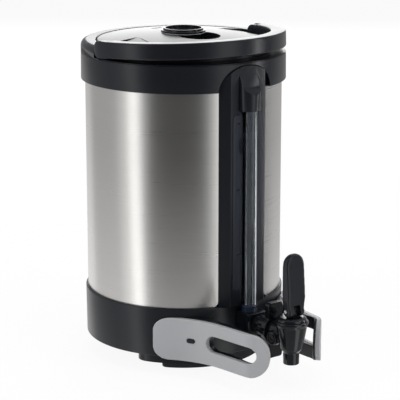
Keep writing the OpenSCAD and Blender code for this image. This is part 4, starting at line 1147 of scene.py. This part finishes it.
cut(bowl, lathe("chamber", [
    (0.0, spout_z - 1.0), (spout_bore, spout_z - 1.0), (spout_bore, valve_z - 2.0),
    (spout_bore - 1.2, valve_z - 2.0), (spout_bore - 1.2, valve_z), (spout_r - 1.6, valve_z),
    (spout_r + 1.6, valve_z + 9.0), (chamber_r, valve_z + 18.0), (chamber_r, bowl_top + 1.0),
    (0.0, bowl_top + 1.0),
], centre=(0.0, -tap_d), steps=72))
cut(bowl, front_lathe("way_in", oblong(0.0, shank_end - 2.0, flow_r, tap_d), 0.0, shank_z))
melted(bowl, 0.42, 4)
finish(bowl, "server", "tap_body", smooth=60.0)

crest, trough = plug_face + 2.2, plug_face + 1.3
plug = side_lathe("side_plug", rounded([
    (0.0, 8.0, 0), (plug_r - 3.0, 8.0, 0), (plug_r - 3.0, plug_face, 0), (plug_r, plug_face, 0),
    (plug_r, crest, 0.5), (plug_r - 1.5, crest, 0.4), (plug_r - 1.5, trough, 0), (plug_r - 3.0, trough, 0),
    (plug_r - 3.0, crest, 0.4), (plug_r - 5.0, crest, 0.4), (plug_r - 5.0, trough, 0), (0.0, trough, 0),
], step=30.0), plug_y, plug_z)
finish(plug, "server", "tap_side_plug")

stem_way = 3.1
bonnet = lathe("bonnet", rounded([
    (stem_way, bonnet_low.z + 2.6, 0), (chamber_r - 2.4, bonnet_low.z + 2.6, 0),
    (chamber_r - 2.4, bonnet_low.z, 0), (chamber_r - 0.05, bonnet_low.z, 0), (chamber_r - 0.05, bowl_top, 0),
    (bowl_r - 1.6, bowl_top, 0.5),
    (bowl_r - 2.6, bowl_top + 2.4, 1.6), (bowl_r - 5.4, bonnet_high.z, 1.4), (stem_way, bonnet_high.z, 0),
], step=15.0), centre=(0.0, -tap_d), steps=120)
finish(bonnet, "server", "tap_bonnet")

# %% Lever
lever_low, lever_high = span("tap_lever")
lever_half = lever_high.x
lever_top = lever_high.z
lever_back = pin_d - 5.4
lever_front = lever_back + 11.2
foot_low = lever_low.z
toe_d = -lever_low.y
paddle = side_slab("lever", rounded([
    (lever_back, pin_z, 0), (lever_back, lever_top, 3.4), (lever_front - 3.6, lever_top, 3.8),
    (lever_front, pin_z + 19.0, 60.0), (lever_front, pin_z, 0),
], step=6.0), -lever_half, lever_half)
tip_z = lever_top - lever_half
tip_turns = [math.pi * k / 32 for k in range(1, 32)]
paddle_front = [(2.0 - lever_half, pin_z), (lever_half - 2.0, pin_z)]
paddle_front += [(lever_half, pin_z + 13.0), (lever_half, tip_z)]
paddle_front += [(lever_half * math.cos(a), tip_z + lever_half * math.sin(a)) for a in tip_turns]
paddle_front += [(-lever_half, tip_z), (-lever_half, pin_z + 13.0)]
kept_inside(paddle, front_slab("paddle_front", paddle_front, lever_back - past, lever_front + past))
foot = side_slab("foot", rounded([
    (pin_d - 5.0, pin_z + 5.0, 0), (pin_d - 5.0, foot_low + 3.0, 2.0), (pin_d - 2.0, foot_low, 1.0),
    (pin_d + 4.0, foot_low, 1.0), (toe_d, foot_low + 4.5, 1.5), (lever_front, pin_z + 4.0, 2.0),
    (lever_front, pin_z + 5.0, 0),
], step=15.0), -lever_half, lever_half)
kept_inside(foot, front_slab("foot_front", rounded([
    (2.6 - lever_half, foot_low - 1.0, 3.0), (lever_half - 2.6, foot_low - 1.0, 3.0),
    (lever_half - 1.4, pin_z + 5.0, 0), (1.4 - lever_half, pin_z + 5.0, 0),
], step=12.0), pin_d - 12.0, toe_d + past))
joined(paddle, foot)


def about_pin(name, radius, half, steps):
    """A round bar along the lever's pin."""
    bar = lathe(name, oblong(0.0, -half, radius, half), steps=steps)
    return placed(bar, "Y", 90.0, move=(0.0, -pin_d, pin_z))


joined(paddle, about_pin("knuckle", 6.2, lever_half - 1.5, 64))
melted(paddle, 0.7, 44)
fork = rounded(oblong(-4.6, foot_low - past, 4.6, pin_z + 6.6, 0, 0, 1.2, 1.2), step=15.0)
cut(paddle, front_slab("fork", fork, pin_d - 14.0, toe_d + past))
cut(paddle, about_pin("pin_way", 2.1, lever_half + past, 48))
melted(paddle, 0.4, 4)
finish(paddle, "lever", "tap_lever", smooth=60.0, paint="black_plastic")
stem = melted(from_node("stem_moulded", "valve_stem"), 0.3, 3)
cut(stem, side_slab("recess", oblong(pin_d + 2.4, pin_z - 6.0, pin_d + 9.0, pin_z + 9.0), -9.0, 9.0))
finish(stem, "stem", "valve_stem", smooth=60.0, paint="gloss_black")

# %% [markdown]
# ## Guard arms
#
# Each arm is a curved grey cover over a black frame, with a finger slot through both. The frame's
# solids already follow the photograph, and what they lack is the soft moulded edge. So each cover and
# frame is copied from its node, remeshed into small even faces and smoothed, which rounds the outline
# and the slot's lips alike. The right arm is made first and the left one is its mirror image.

# %% Guard arms
for part, voxel, rounds in (("guard_cover", 0.6, 10), ("guard_frame", 0.6, 4), ("guard_plug", 0.25, 4)):
    right = melted(from_node("right_" + part + "_moulded", "right_" + part), voxel, rounds)
    left = mirrored("left_" + part + "_moulded", right)
    finish(right, "server", "right_" + part, smooth=60.0)
    finish(left, "server", "left_" + part, smooth=60.0)
